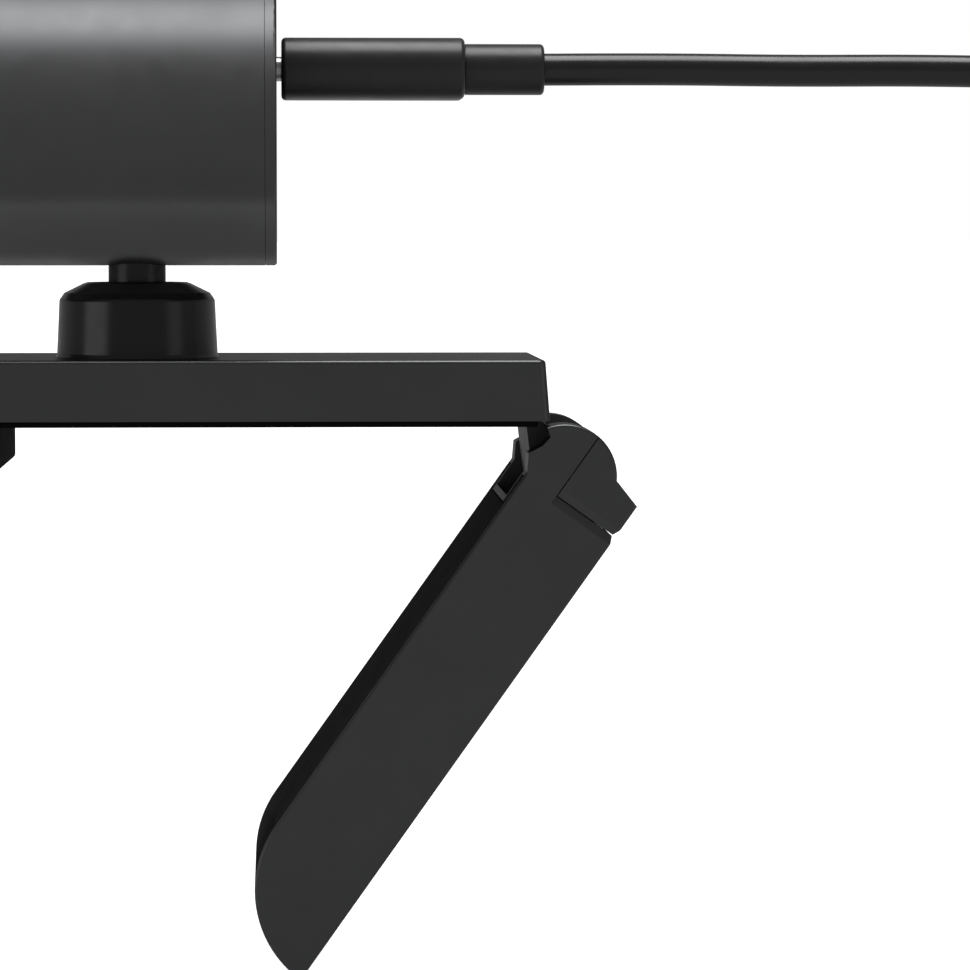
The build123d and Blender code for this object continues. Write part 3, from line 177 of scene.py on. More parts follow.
def softened_copy(name: str, node: str, width: float, segments: int) -> bpy.types.Object:
    """Copies a frame node's mesh, merges its triangles into one skin and rounds its edges.

    Args:
        name: the new piece's name.
        node: the frame node that is copied.
        width: width of the rounding.
        segments: segments of the rounding.

    Returns:
        The object, with a Bevel modifier.
    """
    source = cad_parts[node].data
    mesh = source.copy()
    mesh.name = name
    work = bmesh.new()
    work.from_mesh(mesh)
    bmesh.ops.remove_doubles(work, verts=work.verts, dist=CAD_WELD)
    bmesh.ops.dissolve_limit(work, angle_limit=FLAT_TURN, verts=work.verts, edges=work.edges)
    work.to_mesh(mesh)
    work.free()
    mesh.materials.clear()
    piece = bpy.data.objects.new(name, mesh)
    bpy.context.scene.collection.objects.link(piece)
    rounding = piece.modifiers.new("rounding", "BEVEL")
    rounding.width = width
    rounding.segments = segments
    rounding.limit_method = "ANGLE"
    rounding.angle_limit = CREASE
    return piece


# ---------------------------------------------------------------- finishes
class Grain(Enum):
    """How a finish's fine relief runs: evenly, or drawn out along one axis."""

    EVEN = (1.0, 1.0, 1.0)
    ALONG_X = (0.03, 1.0, 1.0)
    ALONG_Y = (1.0, 0.03, 1.0)
    ROUND_Z = (0.04, 0.04, 1.0)


@dataclass(frozen=True)
class Finish:
    """A surface: its even shader values, with fine grain, faint mottling and worn variation of gloss.

    The gloss varies in blobs of gloss_share times the mottle's size.
    """

    name: str
    colour: tuple[float, float, float]
    roughness: float
    metallic: float = 0.0
    ior: float = 1.5
    edge_tint: float = 1.0
    grain_size: float = 0.15 * MM
    grain_depth: float = 0.002 * MM
    grain: Grain = Grain.EVEN
    mottle: float = 0.06
    mottle_size: float = 6.0 * MM
    mottle_detail: float = 3.0
    gloss_change: float = 0.04
    gloss_share: float = 0.4
    gloss_detail: float = 4.0
    grain_detail: float = 2.0
    coat: float = 0.0
    coat_roughness: float = 0.08

    def make(self) -> bpy.types.Material:
        """Builds the node material.

        Returns:
            The material, read in Object coordinates.
        """
        material = bpy.data.materials.new(self.name)
        material.use_nodes = True
        tree = material.node_tree
        tree.nodes.clear()
        output = tree.nodes.new("ShaderNodeOutputMaterial")
        shader = tree.nodes.new("ShaderNodeBsdfPrincipled")
        tree.links.new(shader.outputs["BSDF"], output.inputs["Surface"])
        shader.inputs["Metallic"].default_value = self.metallic
        shader.inputs["IOR"].default_value = self.ior
        shader.inputs["Specular Tint"].default_value = (*[self.edge_tint] * 3, 1.0)
        shader.inputs["Coat Weight"].default_value = self.coat
        shader.inputs["Coat Roughness"].default_value = self.coat_roughness
        self.dress(tree, shader)
        return material

    def dress(self, tree: Tree, shader: Node) -> None:
        """Adds the patterns: mottled colour, uneven gloss and grain.

        Args:
            tree: the material's node tree.
            shader: its principled shader.
        """
        place = self.place(tree, Grain.EVEN)
        self.colour_from(tree, shader, self.mottling(tree, place))
        self.gloss_from(tree, shader, self.wear(tree, place))
        grain_place = self.place(tree, self.grain)
        relief = self.noise(tree, grain_place, self.grain_size, self.grain_detail)
        self.relief_from(tree, shader, relief, self.grain_depth)

    def mottling(self, tree: Tree, place: Socket) -> Socket:
        """Gives noise of the mottle's size."""
        return self.noise(tree, place, self.mottle_size, self.mottle_detail)

    def wear(self, tree: Tree, place: Socket) -> Socket:
        """Gives the finer noise by which the gloss varies."""
        return self.noise(tree, place, self.gloss_share * self.mottle_size, self.gloss_detail)

    @staticmethod
    def place(tree: Tree, grain: Grain) -> Socket:
        """Object coordinates, drawn out along the grain's axis.

        Args:
            tree: the material's node tree.
            grain: how the pattern runs.

        Returns:
            The socket of the coordinates.
        """
        coordinates = tree.nodes.new("ShaderNodeTexCoord")
        mapping = tree.nodes.new("ShaderNodeMapping")
        mapping.inputs["Scale"].default_value = grain.value
        tree.links.new(coordinates.outputs["Object"], mapping.inputs["Vector"])
        return mapping.outputs["Vector"]

    @staticmethod
    def noise(tree: Tree, place: Socket, size: float, detail: float) -> Socket:
        """Noise whose blobs have a given size.

        Args:
            tree: the material's node tree.
            place: the coordinates.
            size: blob size in metres.
            detail: number of finer layers.

        Returns:
            The socket of the noise's value.
        """
        noise = tree.nodes.new("ShaderNodeTexNoise")
        noise.inputs["Scale"].default_value = 1.0 / size
        noise.inputs["Detail"].default_value = detail
        tree.links.new(place, noise.inputs["Vector"])
        return noise.outputs["Fac"]

    @staticmethod
    def ranged(tree: Tree, source: Socket, low: float, high: float) -> Socket:
        """Spreads the middle of a pattern over a range.

        Args:
            tree: the material's node tree.
            source: the pattern's socket.
            low: the value where the pattern is low.
            high: the value where it is high.

        Returns:
            The socket of the result.
        """
        spread = tree.nodes.new("ShaderNodeMapRange")
        spread.inputs["From Min"].default_value = PATTERN_SPAN[0]
        spread.inputs["From Max"].default_value = PATTERN_SPAN[1]
        spread.inputs["To Min"].default_value = low
        spread.inputs["To Max"].default_value = high
        tree.links.new(source, spread.inputs["Value"])
        return spread.outputs["Result"]

    def colour_from(self, tree: Tree, shader: Node, source: Socket) -> None:
        """Varies the base colour by the mottle's share, down to a darker tone of it.

        Args:
            tree: the material's node tree.
            shader: its principled shader.
            source: the pattern's socket.
        """
        mix = tree.nodes.new("ShaderNodeMix")
        mix.data_type = "RGBA"
        dark = [c * (1.0 - self.mottle) for c in self.colour]
        light = [min(1.0, c * (1.0 + self.mottle)) for c in self.colour]
        mix.inputs["A"].default_value = (*dark, 1.0)
        mix.inputs["B"].default_value = (*light, 1.0)
        tree.links.new(self.ranged(tree, source, 0.0, 1.0), mix.inputs["Factor"])
        tree.links.new(mix.outputs["Result"], shader.inputs["Base Color"])

    def gloss_from(self, tree: Tree, shader: Node, source: Socket) -> None:
        """Varies the roughness about its middle value.

        Args:
            tree: the material's node tree.
            shader: its principled shader.
            source: the pattern's socket.
        """
        low, high = self.roughness - self.gloss_change, self.roughness + self.gloss_change
        tree.links.new(self.ranged(tree, source, low, high), shader.inputs["Roughness"])

    @staticmethod
    def relief_from(tree: Tree, shader: Node, source: Socket, depth: float) -> None:
        """Presses a pattern into the surface as bump.

        Args:
            tree: the material's node tree.
            shader: its principled shader.
            source: the pattern's socket.
            depth: the relief's depth in metres.
        """
        bump = tree.nodes.new("ShaderNodeBump")
        bump.inputs["Strength"].default_value = 1.0
        bump.inputs["Distance"].default_value = depth
        tree.links.new(source, bump.inputs["Height"])
        tree.links.new(bump.outputs["Normal"], shader.inputs["Normal"])


@dataclass(frozen=True)
class BoardFinish(Finish):
    """A circuit board: solder mask over a faint net of copper tracks."""

    track_size: float = 1.6 * MM

    def dress(self, tree: Tree, shader: Node) -> None:
        """Adds the tracks, as the raised cells' borders of a Voronoi pattern, and the mask's mottling.

        Args:
            tree: the material's node tree.
            shader: its principled shader.
        """
        place = self.place(tree, Grain.EVEN)
        cells = tree.nodes.new("ShaderNodeTexVoronoi")
        cells.distance = "CHEBYCHEV"
        cells.inputs["Scale"].default_value = 1.0 / self.track_size
        tree.links.new(place, cells.inputs["Vector"])
        self.colour_from(tree, shader, cells.outputs["Distance"])
        self.gloss_from(tree, shader, self.mottling(tree, place))
        self.relief_from(tree, shader, cells.outputs["Distance"], self.grain_depth)


@dataclass(frozen=True)
class TurnedFinish(Finish):
    """Metal turned on a lathe about an upright axis, with fine even rings."""

    ring_pitch: float = 0.22 * MM
    ring_wander: float = 0.4

    def dress(self, tree: Tree, shader: Node) -> None:
        """Adds rings as waves along Z, with mottled colour and gloss.

        Args:
            tree: the material's node tree.
            shader: its principled shader.
        """
        place = self.place(tree, Grain.EVEN)
        self.colour_from(tree, shader, self.mottling(tree, place))
        self.gloss_from(tree, shader, self.wear(tree, place))
        rings = tree.nodes.new("ShaderNodeTexWave")
        rings.bands_direction = "Z"
        rings.inputs["Scale"].default_value = WAVE_TURN / self.ring_pitch
        rings.inputs["Distortion"].default_value = self.ring_wander
        tree.links.new(place, rings.inputs["Vector"])
        self.relief_from(tree, shader, rings.outputs["Fac"], self.grain_depth)


@dataclass(frozen=True)
class WovenFinish(Finish):
    """A hook-and-loop band: crossed threads, seen along the band and across it."""

    thread: float = 0.35 * MM

    def dress(self, tree: Tree, shader: Node) -> None:
        """Adds threads as two crossed sets of waves on the piece's own UV map, in metres.

        Args:
            tree: the material's node tree.
            shader: its principled shader.
        """
        uv = tree.nodes.new("ShaderNodeTexCoord").outputs["UV"]
        sets = []
        for direction in ("X", "Y"):
            wave = tree.nodes.new("ShaderNodeTexWave")
            wave.bands_direction = direction
            wave.inputs["Scale"].default_value = WAVE_TURN / self.thread
            tree.links.new(uv, wave.inputs["Vector"])
            sets.append(wave.outputs["Fac"])
        weave = tree.nodes.new("ShaderNodeMath")
        weave.operation = "MULTIPLY"
        tree.links.new(sets[0], weave.inputs[0])
        tree.links.new(sets[1], weave.inputs[1])
        self.colour_from(tree, shader, weave.outputs["Value"])
        self.gloss_from(tree, shader, weave.outputs["Value"])
        self.relief_from(tree, shader, weave.outputs["Value"], self.grain_depth)


@dataclass(frozen=True)
class GlassFinish(Finish):
    """Clear or tinted glass, polished, with a thin coating's colour in its coat."""

    tint: tuple[float, float, float] = (1.0, 1.0, 1.0)
    clear: float = 1.0

    def dress(self, tree: Tree, shader: Node) -> None:
        """Adds faint smears to the gloss, and lets light through.

        Args:
            tree: the material's node tree.
            shader: its principled shader.
        """
        shader.inputs["Transmission Weight"].default_value = self.clear
        shader.inputs["Coat Tint"].default_value = (*self.tint, 1.0)
        shader.inputs["Base Color"].default_value = (*self.colour, 1.0)
        place = self.place(tree, Grain.EVEN)
        self.gloss_from(tree, shader, self.mottling(tree, place))


ANODISED = Finish("anodised_dark", (0.088, 0.089, 0.091), 0.33, 1.0, edge_tint=0.55, gloss_change=0.02,
                  mottle=0.03, grain_size=0.09 * MM, grain_depth=0.0006 * MM)
HOUSING_BLACK = Finish("housing_black", (0.006, 0.006, 0.006), 0.24, ior=1.45, grain_depth=0.0006 * MM,
                       mottle_size=4 * MM, gloss_change=0.03)
MATT_BLACK = Finish("matt_black", (0.012, 0.012, 0.0125), 0.5, grain_size=0.25 * MM, grain_depth=0.006 * MM)
PLUG_BLACK = Finish("plug_black", (0.018, 0.018, 0.0185), 0.36, ior=1.48, grain_size=0.16 * MM,
                    grain_depth=0.003 * MM)
RUBBER = Finish("pad_rubber_black", (0.005, 0.005, 0.005), 0.8, ior=1.12, grain_size=0.3 * MM,
                grain_depth=0.008 * MM, mottle=0.12)
JACKET = Finish("cord_jacket_black", (0.011, 0.011, 0.011), 0.28, grain_size=0.5 * MM, grain_depth=0.004 * MM,
                mottle_size=12 * MM)
TIE = WovenFinish("tie_weave_black", (0.016, 0.016, 0.017), 0.75, mottle=0.45, grain_depth=0.08 * MM)
STEM = TurnedFinish("stem_dark_plated", (0.032, 0.032, 0.033), 0.27, 1.0, edge_tint=0.6,
                    grain_depth=0.0012 * MM)
STEEL = Finish("steel_plated", (0.56, 0.56, 0.57), 0.28, 1.0, grain=Grain.ALONG_X, grain_size=0.08 * MM,
               grain_depth=0.0015 * MM)
PIN_STEEL = Finish("pin_steel", (0.5, 0.5, 0.51), 0.22, 1.0, grain=Grain.ALONG_Y, grain_size=0.08 * MM,
                   grain_depth=0.001 * MM)
SCREW_STEEL = Finish("screw_steel", (0.34, 0.34, 0.345), 0.3, 1.0, grain=Grain.ROUND_Z, grain_size=0.1 * MM,
                     grain_depth=0.0015 * MM)
CUP = Finish("cup_natural", (0.72, 0.7, 0.65), 0.45, grain_depth=0.003 * MM)
BRASS = Finish("brass_turned", (0.58, 0.42, 0.17), 0.26, 1.0, grain=Grain.ROUND_Z, grain_size=0.12 * MM,
               grain_depth=0.0015 * MM)
BOARD = BoardFinish("board_mask_green", (0.012, 0.05, 0.026), 0.35, mottle=0.4, grain_depth=0.02 * MM,
                    coat=0.3)
CHIP = Finish("chip_matt", (0.02, 0.02, 0.021), 0.55, grain_size=0.12 * MM, grain_depth=0.004 * MM)
HEAT_PAD = Finish("heat_pad_grey", (0.33, 0.36, 0.4), 0.8, grain_size=0.4 * MM, grain_depth=0.02 * MM)
BARE = Finish("aluminium_mill", (0.68, 0.68, 0.69), 0.32, 1.0, grain=Grain.ALONG_X, grain_size=0.1 * MM,
              grain_depth=0.002 * MM)
WINDOW = GlassFinish("window_smoked", (0.42, 0.42, 0.43), 0.03, gloss_change=0.015, mottle_size=9 * MM,
                     ior=1.52)
LENS = GlassFinish("lens_coated", (0.9, 0.93, 0.97), 0.02, gloss_change=0.01, ior=1.6, coat=0.7,
                   tint=(0.55, 0.3, 0.85))
LIGHT_PIPE = GlassFinish("light_pipe_frosted", (0.93, 0.94, 0.95), 0.3, clear=0.85)

NODE_FINISHES: dict[Finish, tuple[str, ...]] = {
    ANODISED: ("barrel_shell", "rear_ring", "front_ring", "plate_cover", "leg_shell", "leg_heel_cap"),
    HOUSING_BLACK: ("socket_housing",),
    MATT_BLACK: ("rear_cover", "plate_base", "front_lip", "hinge_block", "lens_trim", "front_carrier",
                 "inner_chassis", "focus_motor", "stem_saddle", "lens_barrel"),
    PLUG_BLACK: ("plug_overmould", "strain_relief", "usb_a_overmould"),
    STEM: ("ball_stem",),
    STEEL: ("disc_springs", "ring_nut", "stem_washer", "usb_socket", "usb_plug_shell", "usb_a_metal",
            "microphones", "leg_pad_plate", "friction_clips"),
    PIN_STEEL: ("hinge_pin",),
    SCREW_STEEL: ("base_screws", "hinge_block_screws", "heel_screws", "leg_plate_screws", "board_screws",
                  "stem_screw"),
    CUP: ("friction_cup",),
    BRASS: ("tripod_insert",),
    BOARD: ("main_board", "sensor_board", "front_board"),
    CHIP: ("image_processor", "image_sensor"),
    HEAT_PAD: ("heat_pad",),
    BARE: ("heat_spreader",),
    WINDOW: ("front_glass",),
    LENS: ("front_lens", "rear_lens"),
    LIGHT_PIPE: ("light_pipe", "status_light"),
}


@dataclass
class Workshop:
    """Hands out each finish's material, made once."""

    made: dict[Finish, bpy.types.Material] = field(default_factory=dict)

    def material(self, finish: Finish) -> bpy.types.Material:
        """Gives the finish's material, making it the first time.

        Args:
            finish: the finish.

        Returns:
            Its material.
        """
        if finish not in self.made:
            self.made[finish] = finish.make()
        return self.made[finish]

    def dress(self, piece: bpy.types.Object, finish: Finish) -> None:
        """Puts a finish on all of a piece's material slots.

        Args:
            piece: a frame node or a new piece.
            finish: its finish.
        """
        material = self.material(finish)
        if piece.material_slots:
            for each in piece.material_slots:
                each.link = "OBJECT"
                each.material = material
        else:
            piece.data.materials.append(material)

    def dress_nodes(self) -> None:
        """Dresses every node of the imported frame."""
        for finish, names in NODE_FINISHES.items():
            for name in names:
                self.dress(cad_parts[name], finish)
        LOG.info("dressed %d frame nodes", sum(len(names) for names in NODE_FINISHES.values()))

    def fit(
        self, piece: bpy.types.Object, finish: Finish, body: Body, slot: str, replaces: tuple[str, ...] = ()
    ) -> None:
        """Dresses a new piece, rides it on its body and hides the frame nodes that it stands for.

        Args:
            piece: the new piece.
            finish: its finish.
            body: the body that it rides on.
            slot: a material slot's name; not used.
            replaces: names of the frame nodes that it replaces.
        """
        self.dress(piece, finish)
        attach(piece, body.value)
        if replaces:
            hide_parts(*replaces)
        LOG.info("built %s on %s", piece.name, body.value)


# ---------------------------------------------------------------- camera, light and floor
def link_light(light: bpy.types.Object, pieces: list[bpy.types.Object]) -> None:
    """Links a light to some pieces, as what it lights and as what may shade it.

    Args:
        light: the light.
        pieces: the pieces that it lights.
    """
    lit = bpy.data.collections.new(light.name + "_lit")
    for piece in pieces:
        lit.objects.link(piece)
    light.light_linking.receiver_collection = lit
    light.light_linking.blocker_collection = lit


@dataclass(frozen=True)
class SoftBox:
    """A rectangular soft light that looks at a point, and may be linked to some frame nodes."""

    name: str
    place: tuple[float, float, float]
    aim: tuple[float, float, float]
    size: tuple[float, float]
    radiance: float
    only_on: tuple[str, ...] = ()

    def build(self) -> None:
        """Makes the light: its power is pi times its area times its radiance."""
        data = bpy.data.lights.new(self.name, "AREA")
        data.shape = "RECTANGLE"
        data.size, data.size_y = self.size
        data.energy = np.pi * self.size[0] * self.size[1] * self.radiance
        light = bpy.data.objects.new(self.name, data)
        bpy.context.scene.collection.objects.link(light)
        light.location = self.place
        ahead = Vector(self.aim) - Vector(self.place)
        light.rotation_euler = ahead.to_track_quat("-Z", "Y").to_euler()
        light.visible_camera = False
        if self.only_on:
            link_light(light, [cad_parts[name] for name in self.only_on])


BARREL = ("barrel_shell", "rear_ring", "front_ring")
BARREL_MIDDLE = (-0.03, 0.0, 0.038)
OVER_PLATE = (0.0, 0.0, 0.01)
SOFT_BOXES = (
    SoftBox("left_box", place=(-1.0, -0.55, 0.05), aim=OVER_PLATE, size=(0.75, 0.5), radiance=1.0),
    SoftBox("right_box", place=(1.05, -0.65, 0.05), aim=OVER_PLATE, size=(0.45, 0.5), radiance=0.4),
    SoftBox("barrel_front_box", place=(-0.03, -0.85, 0.475), aim=BARREL_MIDDLE, size=(2.4, 0.36),
            radiance=6.0, only_on=BARREL),
    SoftBox("barrel_back_box", place=(-0.03, 0.85, 0.49), aim=BARREL_MIDDLE, size=(2.4, 0.42),
            radiance=3.0, only_on=BARREL),
    # A light under the plate added nothing to the barrel, so this strip lies between socket and barrel.
    SoftBox("barrel_low_box", place=(-0.03, -0.0078, 0.0154), aim=(-0.03, -0.0077, 0.038),
            size=(0.12, 0.0165), radiance=0.48, only_on=BARREL),
)


@dataclass
class Studio:
    """A plain pale floor, a pale surround, soft lights and the camera at the side.

    The camera sees the floor and the surround brighter than they are as lights. Suns are given by
    their irradiance and their width in degrees.
    """

    camera_place: tuple[float, float, float] = (0.01507, -0.469, 0.02042)
    camera_ahead: tuple[float, float, float] = (0.0475, 1.0, -0.0583)
    lens_mm: float = 161.7
    sensor_mm: float = 36.0
    camera_near: float = 0.01
    camera_far: float = 100.0
    floor_half: float = 30.0
    floor_gap: float = 0.02 * MM
    floor_seen: float = 0.5
    floor_glow: float = 0.7
    floor_bounce: float = 0.3
    floor_light: float = 3.7
    floor_spread: float = 120.0
    surround: float = 0.24
    surround_seen: float = 1.0
    overhead: float = 2.7
    overhead_spread: float = 43.0

    def camera(self) -> None:
        """Sets the camera level with the plate's top, looking across the object along +Y."""
        data = bpy.data.cameras.new("camera")
        data.lens = self.lens_mm
        data.sensor_width = self.sensor_mm
        data.clip_start, data.clip_end = self.camera_near, self.camera_far
        camera = bpy.data.objects.new("camera", data)
        bpy.context.scene.collection.objects.link(camera)
        camera.location = self.camera_place
        camera.rotation_euler = Vector(self.camera_ahead).to_track_quat("-Z", "Y").to_euler()
        bpy.context.scene.camera = camera

    @staticmethod
    def split_rays(tree: Tree, output: Node, as_light: Socket, as_seen: Socket) -> None:
        """Gives the camera's rays one shader and all other rays another.

        Args:
            tree: the node tree.
            output: its output node.
            as_light: the shader that other rays meet.
            as_seen: the shader that the camera's rays meet.
        """
        mix = tree.nodes.new("ShaderNodeMixShader")
        path = tree.nodes.new("ShaderNodeLightPath")
        tree.links.new(path.outputs["Is Camera Ray"], mix.inputs["Fac"])
        tree.links.new(as_light, mix.inputs[1])
        tree.links.new(as_seen, mix.inputs[2])
        tree.links.new(mix.outputs["Shader"], output.inputs["Surface"])

    @staticmethod
    def matt(tree: Tree, shade: float) -> Socket:
        """Adds a matt grey.

        Args:
            tree: the node tree.
            shade: how much light it sends back, from 0 to 1.

        Returns:
            The shader's socket.
        """
        matt = tree.nodes.new("ShaderNodeBsdfDiffuse")
        matt.inputs["Color"].default_value = (shade, shade, shade, 1.0)
        return matt.outputs["BSDF"]

    @staticmethod
    def background(tree: Tree, strength: float) -> Socket:
        """Adds a white background.

        Args:
            tree: the node tree.
            strength: its radiance.

        Returns:
            The shader's socket.
        """
        background = tree.nodes.new("ShaderNodeBackground")
        background.inputs["Color"].default_value = WHITE
        background.inputs["Strength"].default_value = strength
        return background.outputs["Background"]

    def floor(self) -> None:
        """Lays the floor just under the lowest point: matt with a glow as seen, a darker matt as a light."""
        low = CAD_BOX[0].z - self.floor_gap
        h = self.floor_half
        corners = np.array([(-h, -h, low), (h, -h, low), (h, h, low), (-h, h, low)])
        floor = mesh_piece("floor", corners, [[0, 1, 2, 3]])
        material = bpy.data.materials.new("floor_pale")
        material.use_nodes = True
        tree = material.node_tree
        tree.nodes.clear()
        output = tree.nodes.new("ShaderNodeOutputMaterial")
        glow = tree.nodes.new("ShaderNodeEmission")
        glow.inputs["Strength"].default_value = self.floor_glow
        seen = tree.nodes.new("ShaderNodeAddShader")
        tree.links.new(self.matt(tree, self.floor_seen), seen.inputs[0])
        tree.links.new(glow.outputs["Emission"], seen.inputs[1])
        self.split_rays(tree, output, self.matt(tree, self.floor_bounce), seen.outputs["Shader"])
        floor.data.materials.append(material)

    def surroundings(self) -> None:
        """Makes the surround white to the eye and a soft grey as a light."""
        world = bpy.data.worlds.new("surround")
        bpy.context.scene.world = world
        world.use_nodes = True
        tree = world.node_tree
        tree.nodes.clear()
        output = tree.nodes.new("ShaderNodeOutputWorld")
        as_light = self.background(tree, self.surround)
        as_seen = self.background(tree, self.surround_seen)
        self.split_rays(tree, output, as_light, as_seen)

    def sun(self, name: str, energy: float, spread: float) -> bpy.types.Object:
        """Makes a wide light that shines straight down.

        Args:
            name: the light's name.
            energy: its irradiance.
            spread: its width in degrees.

        Returns:
            The light.
        """
        data = bpy.data.lights.new(name, "SUN")
        data.energy = energy
        data.angle = np.radians(spread)
        light = bpy.data.objects.new(name, data)
        bpy.context.scene.collection.objects.link(light)
        return light

    def lights(self) -> None:
        """Sets the broad overhead light, which spares the floor, the floor's own light and the boxes."""
        floor = bpy.data.objects["floor"]
        overhead = self.sun("overhead", self.overhead, self.overhead_spread)
        all_but_floor = bpy.data.collections.new("all_but_floor")
        all_but_floor.objects.link(floor)
        all_but_floor.collection_objects[0].light_linking.link_state = "EXCLUDE"
        overhead.light_linking.receiver_collection = all_but_floor
        link_light(self.sun("floor_wash", self.floor_light, self.floor_spread), [floor])
        for box in SOFT_BOXES:
            box.build()

    def build(self) -> None:
        """Builds the whole studio."""
        self.camera()
        self.floor()
        self.surroundings()
        self.lights()
        bpy.context.scene.view_settings.view_transform = "Standard"
        LOG.info("built the studio")


# ---------------------------------------------------------------- cord
@dataclass
class DataCord:
    """The data cord: straight back from the plug, down to the surface and into a neat tied coil.

    Places and sizes are in millimetres, apart from the diameter, which is in metres. Angles are in
    degrees, and stretches of the coil are counted in turns.
    """

    workshop: Workshop
    diameter: float = 3.5 * MM
    run: tuple[tuple[float, float, float], ...] = (
        (43.65, 0.0, 37.75),
        (56.0, 0.0, 37.85),
        (70.0, 0.0, 37.65),
        (84.0, 0.0, 37.75),
        (98.0, 0.0, 37.5),
        (112.5, 0.0, 33.0),
        (121.5, 0.0, 20.5),
        (124.5, 0.0, 4.0),
        (124.8, 0.3, -15.0),
        (126.2, 1.5, -33.0),
        (131.5, 6.0, -47.5),
        (141.5, 14.2, -55.6),
    )
    coil_centre: tuple[float, float] = (164.0, -3.0)
    coil_turns: float = 10.4
    columns: tuple[float, ...] = (25.45, 21.9, 18.35, 14.8)
    layers: tuple[float, ...] = (-56.45, -52.4, -48.35)
    # For each layer: where its first sideways shift starts, how long a shift takes and its columns.
    layer_shifts: tuple[tuple[float, float, tuple[int, ...]], ...] = (
        (0.8, 0.2, (0, 1, 2, 3)),
        (4.3, 0.25, (3, 2, 1, 0)),
        (7.8, 0.2, (0, 1, 2, 3)),
    )
    layer_climbs: tuple[tuple[float, float], ...] = ((3.55, 3.8), (7.05, 7.3))
    last_climb_start: float = 10.4166
    last_climb_turns: float = 0.16
    last_climb_rise: float = 3.5
    start_angle: float = 110.0
    points_per_turn: int = 24
    # Past the coil's last turn: over its top and back into the far plug, measured from the coil's centre.
    tail: tuple[tuple[float, float, float], ...] = (
        (1.5, -15.6, -44.95),
        (-5.5, -16.9, -44.8),
        (-13.0, -19.2, -44.8),
        (-20.5, -20.6, -44.7),
        (-27.2, -18.2, -44.4),
        (-30.6, -12.0, -44.0),
        (-29.4, -5.0, -43.5),
        (-24.0, -0.9, -43.0),
        (-17.5, 0.0, -42.8),
        (-12.0, 0.0, -42.8),
    )
    spline_steps: int = 5
    bevel_steps: int = 5
    tie_angle: float = 200.0
    tie_pinch: float = 0.55
    tie_pinch_half: float = 8.0
    tie_pinch_fade: float = 32.0
    tie_inset: float = 0.9914
    tie_width: float = 8.0
    tie_thickness: float = 0.5
    tie_edge_r: float = 0.2
    tie_edge_steps: int = 3
    tie_loop: tuple[float, float] = (14.7, 11.0)
    tie_corner_r: float = 2.1
    tie_corner_steps: int = 8

    @staticmethod
    def stage(turns: np.ndarray, changes: list[tuple[float, float, float]], first: float) -> np.ndarray:
        """A value that steps from one level to the next in stated windows, eased by smoothstep.

        Args:
            turns: the turn count along the coil.
            changes: each window's start, its end and the amount by which the value changes in it.
            first: the value before the first window.

        Returns:
            The value at each turn count.
        """
        value = np.full_like(turns, first)
        for start, end, amount in changes:
            value += amount * smoothstep((turns - start) / (end - start))
        return value

    def wound(self, turns: np.ndarray, radius: np.ndarray | float, height: np.ndarray) -> np.ndarray:
        """Points round the coil: radius times (cos, sin) of an angle that falls a full circle a turn.

        Args:
            turns: the turn count of each point.
            radius: distance from the coil's axis.
            height: height of each point.

        Returns:
            Points in millimetres, shape (n, 3).
        """
        angle = np.radians(self.start_angle - 360.0 * turns)
        x = self.coil_centre[0] + radius * np.cos(angle)
        y = self.coil_centre[1] + radius * np.sin(angle)
        return np.stack([x, y, height], axis=1)

    def coil_points(self) -> np.ndarray:
        """Control points of the coil.

        The first layer winds inwards, the second outwards and the third inwards again. Each layer's
        strands shift sideways in one sector and climb in another, so that they never meet. By the tie
        the layers close up.

        Returns:
            Points in millimetres, shape (n, 3).
        """
        turns = np.arange(0.0, self.coil_turns, 1.0 / self.points_per_turn)
        shifts = [
            (start + i, start + i + width, self.columns[after] - self.columns[before])
            for start, width, order in self.layer_shifts
            for i, (before, after) in enumerate(zip(order, order[1:]))
        ]
        steps = np.diff(self.layers)
        climbs = [(start, end, step) for (start, end), step in zip(self.layer_climbs, steps)]
        radius = self.stage(turns, shifts, self.columns[0])
        height = self.stage(turns, climbs, self.layers[0])
        off_tie = np.abs((self.start_angle - 360.0 * turns - self.tie_angle + 180.0) % 360.0 - 180.0)
        pinch = 1.0 - smoothstep((off_tie - self.tie_pinch_half) / self.tie_pinch_fade)
        layer = (height - self.layers[1]) / steps[1]
        return self.wound(turns, radius, height - self.tie_pinch * pinch * layer)

    def climb_points(self) -> np.ndarray:
        """Control points of the last climb, from the third layer onto the coil's top.

        Returns:
            Points in millimetres, shape (n, 3).
        """
        end = self.coil_turns + self.last_climb_turns
        turns = np.arange(self.last_climb_start, end, 1.0 / self.points_per_turn)
        climbed = smoothstep((turns - self.coil_turns) / self.last_climb_turns)
        return self.wound(turns, self.columns[-1], self.layers[-1] + self.last_climb_rise * climbed)

    def tail_points(self) -> np.ndarray:
        """Control points from the coil's top to the far plug, in millimetres."""
        return np.array(self.tail) + np.array([*self.coil_centre, 0.0])

    def build_cord(self) -> bpy.types.Object:
        """Makes the cord as one smooth curve through its control points, with a round bevel.

        Returns:
            The curve object.
        """
        points = np.vstack([self.run, self.coil_points(), self.climb_points(), self.tail_points()]) * MM
        curve = bpy.data.curves.new("data_cord", "CURVE")
        curve.dimensions = "3D"
        spline = curve.splines.new("NURBS")
        spline.points.add(len(points) - 1)
        spline.points.foreach_set("co", np.hstack([points, np.ones((len(points), 1))]).ravel())
        spline.order_u = 3
        spline.use_endpoint_u = True
        spline.use_smooth = True
        curve.resolution_u = self.spline_steps
        curve.bevel_depth = self.diameter / 2
        curve.bevel_resolution = self.bevel_steps
        curve.use_fill_caps = True
        cord = bpy.data.objects.new("data_cord", curve)
        bpy.context.scene.collection.objects.link(cord)
        return cord

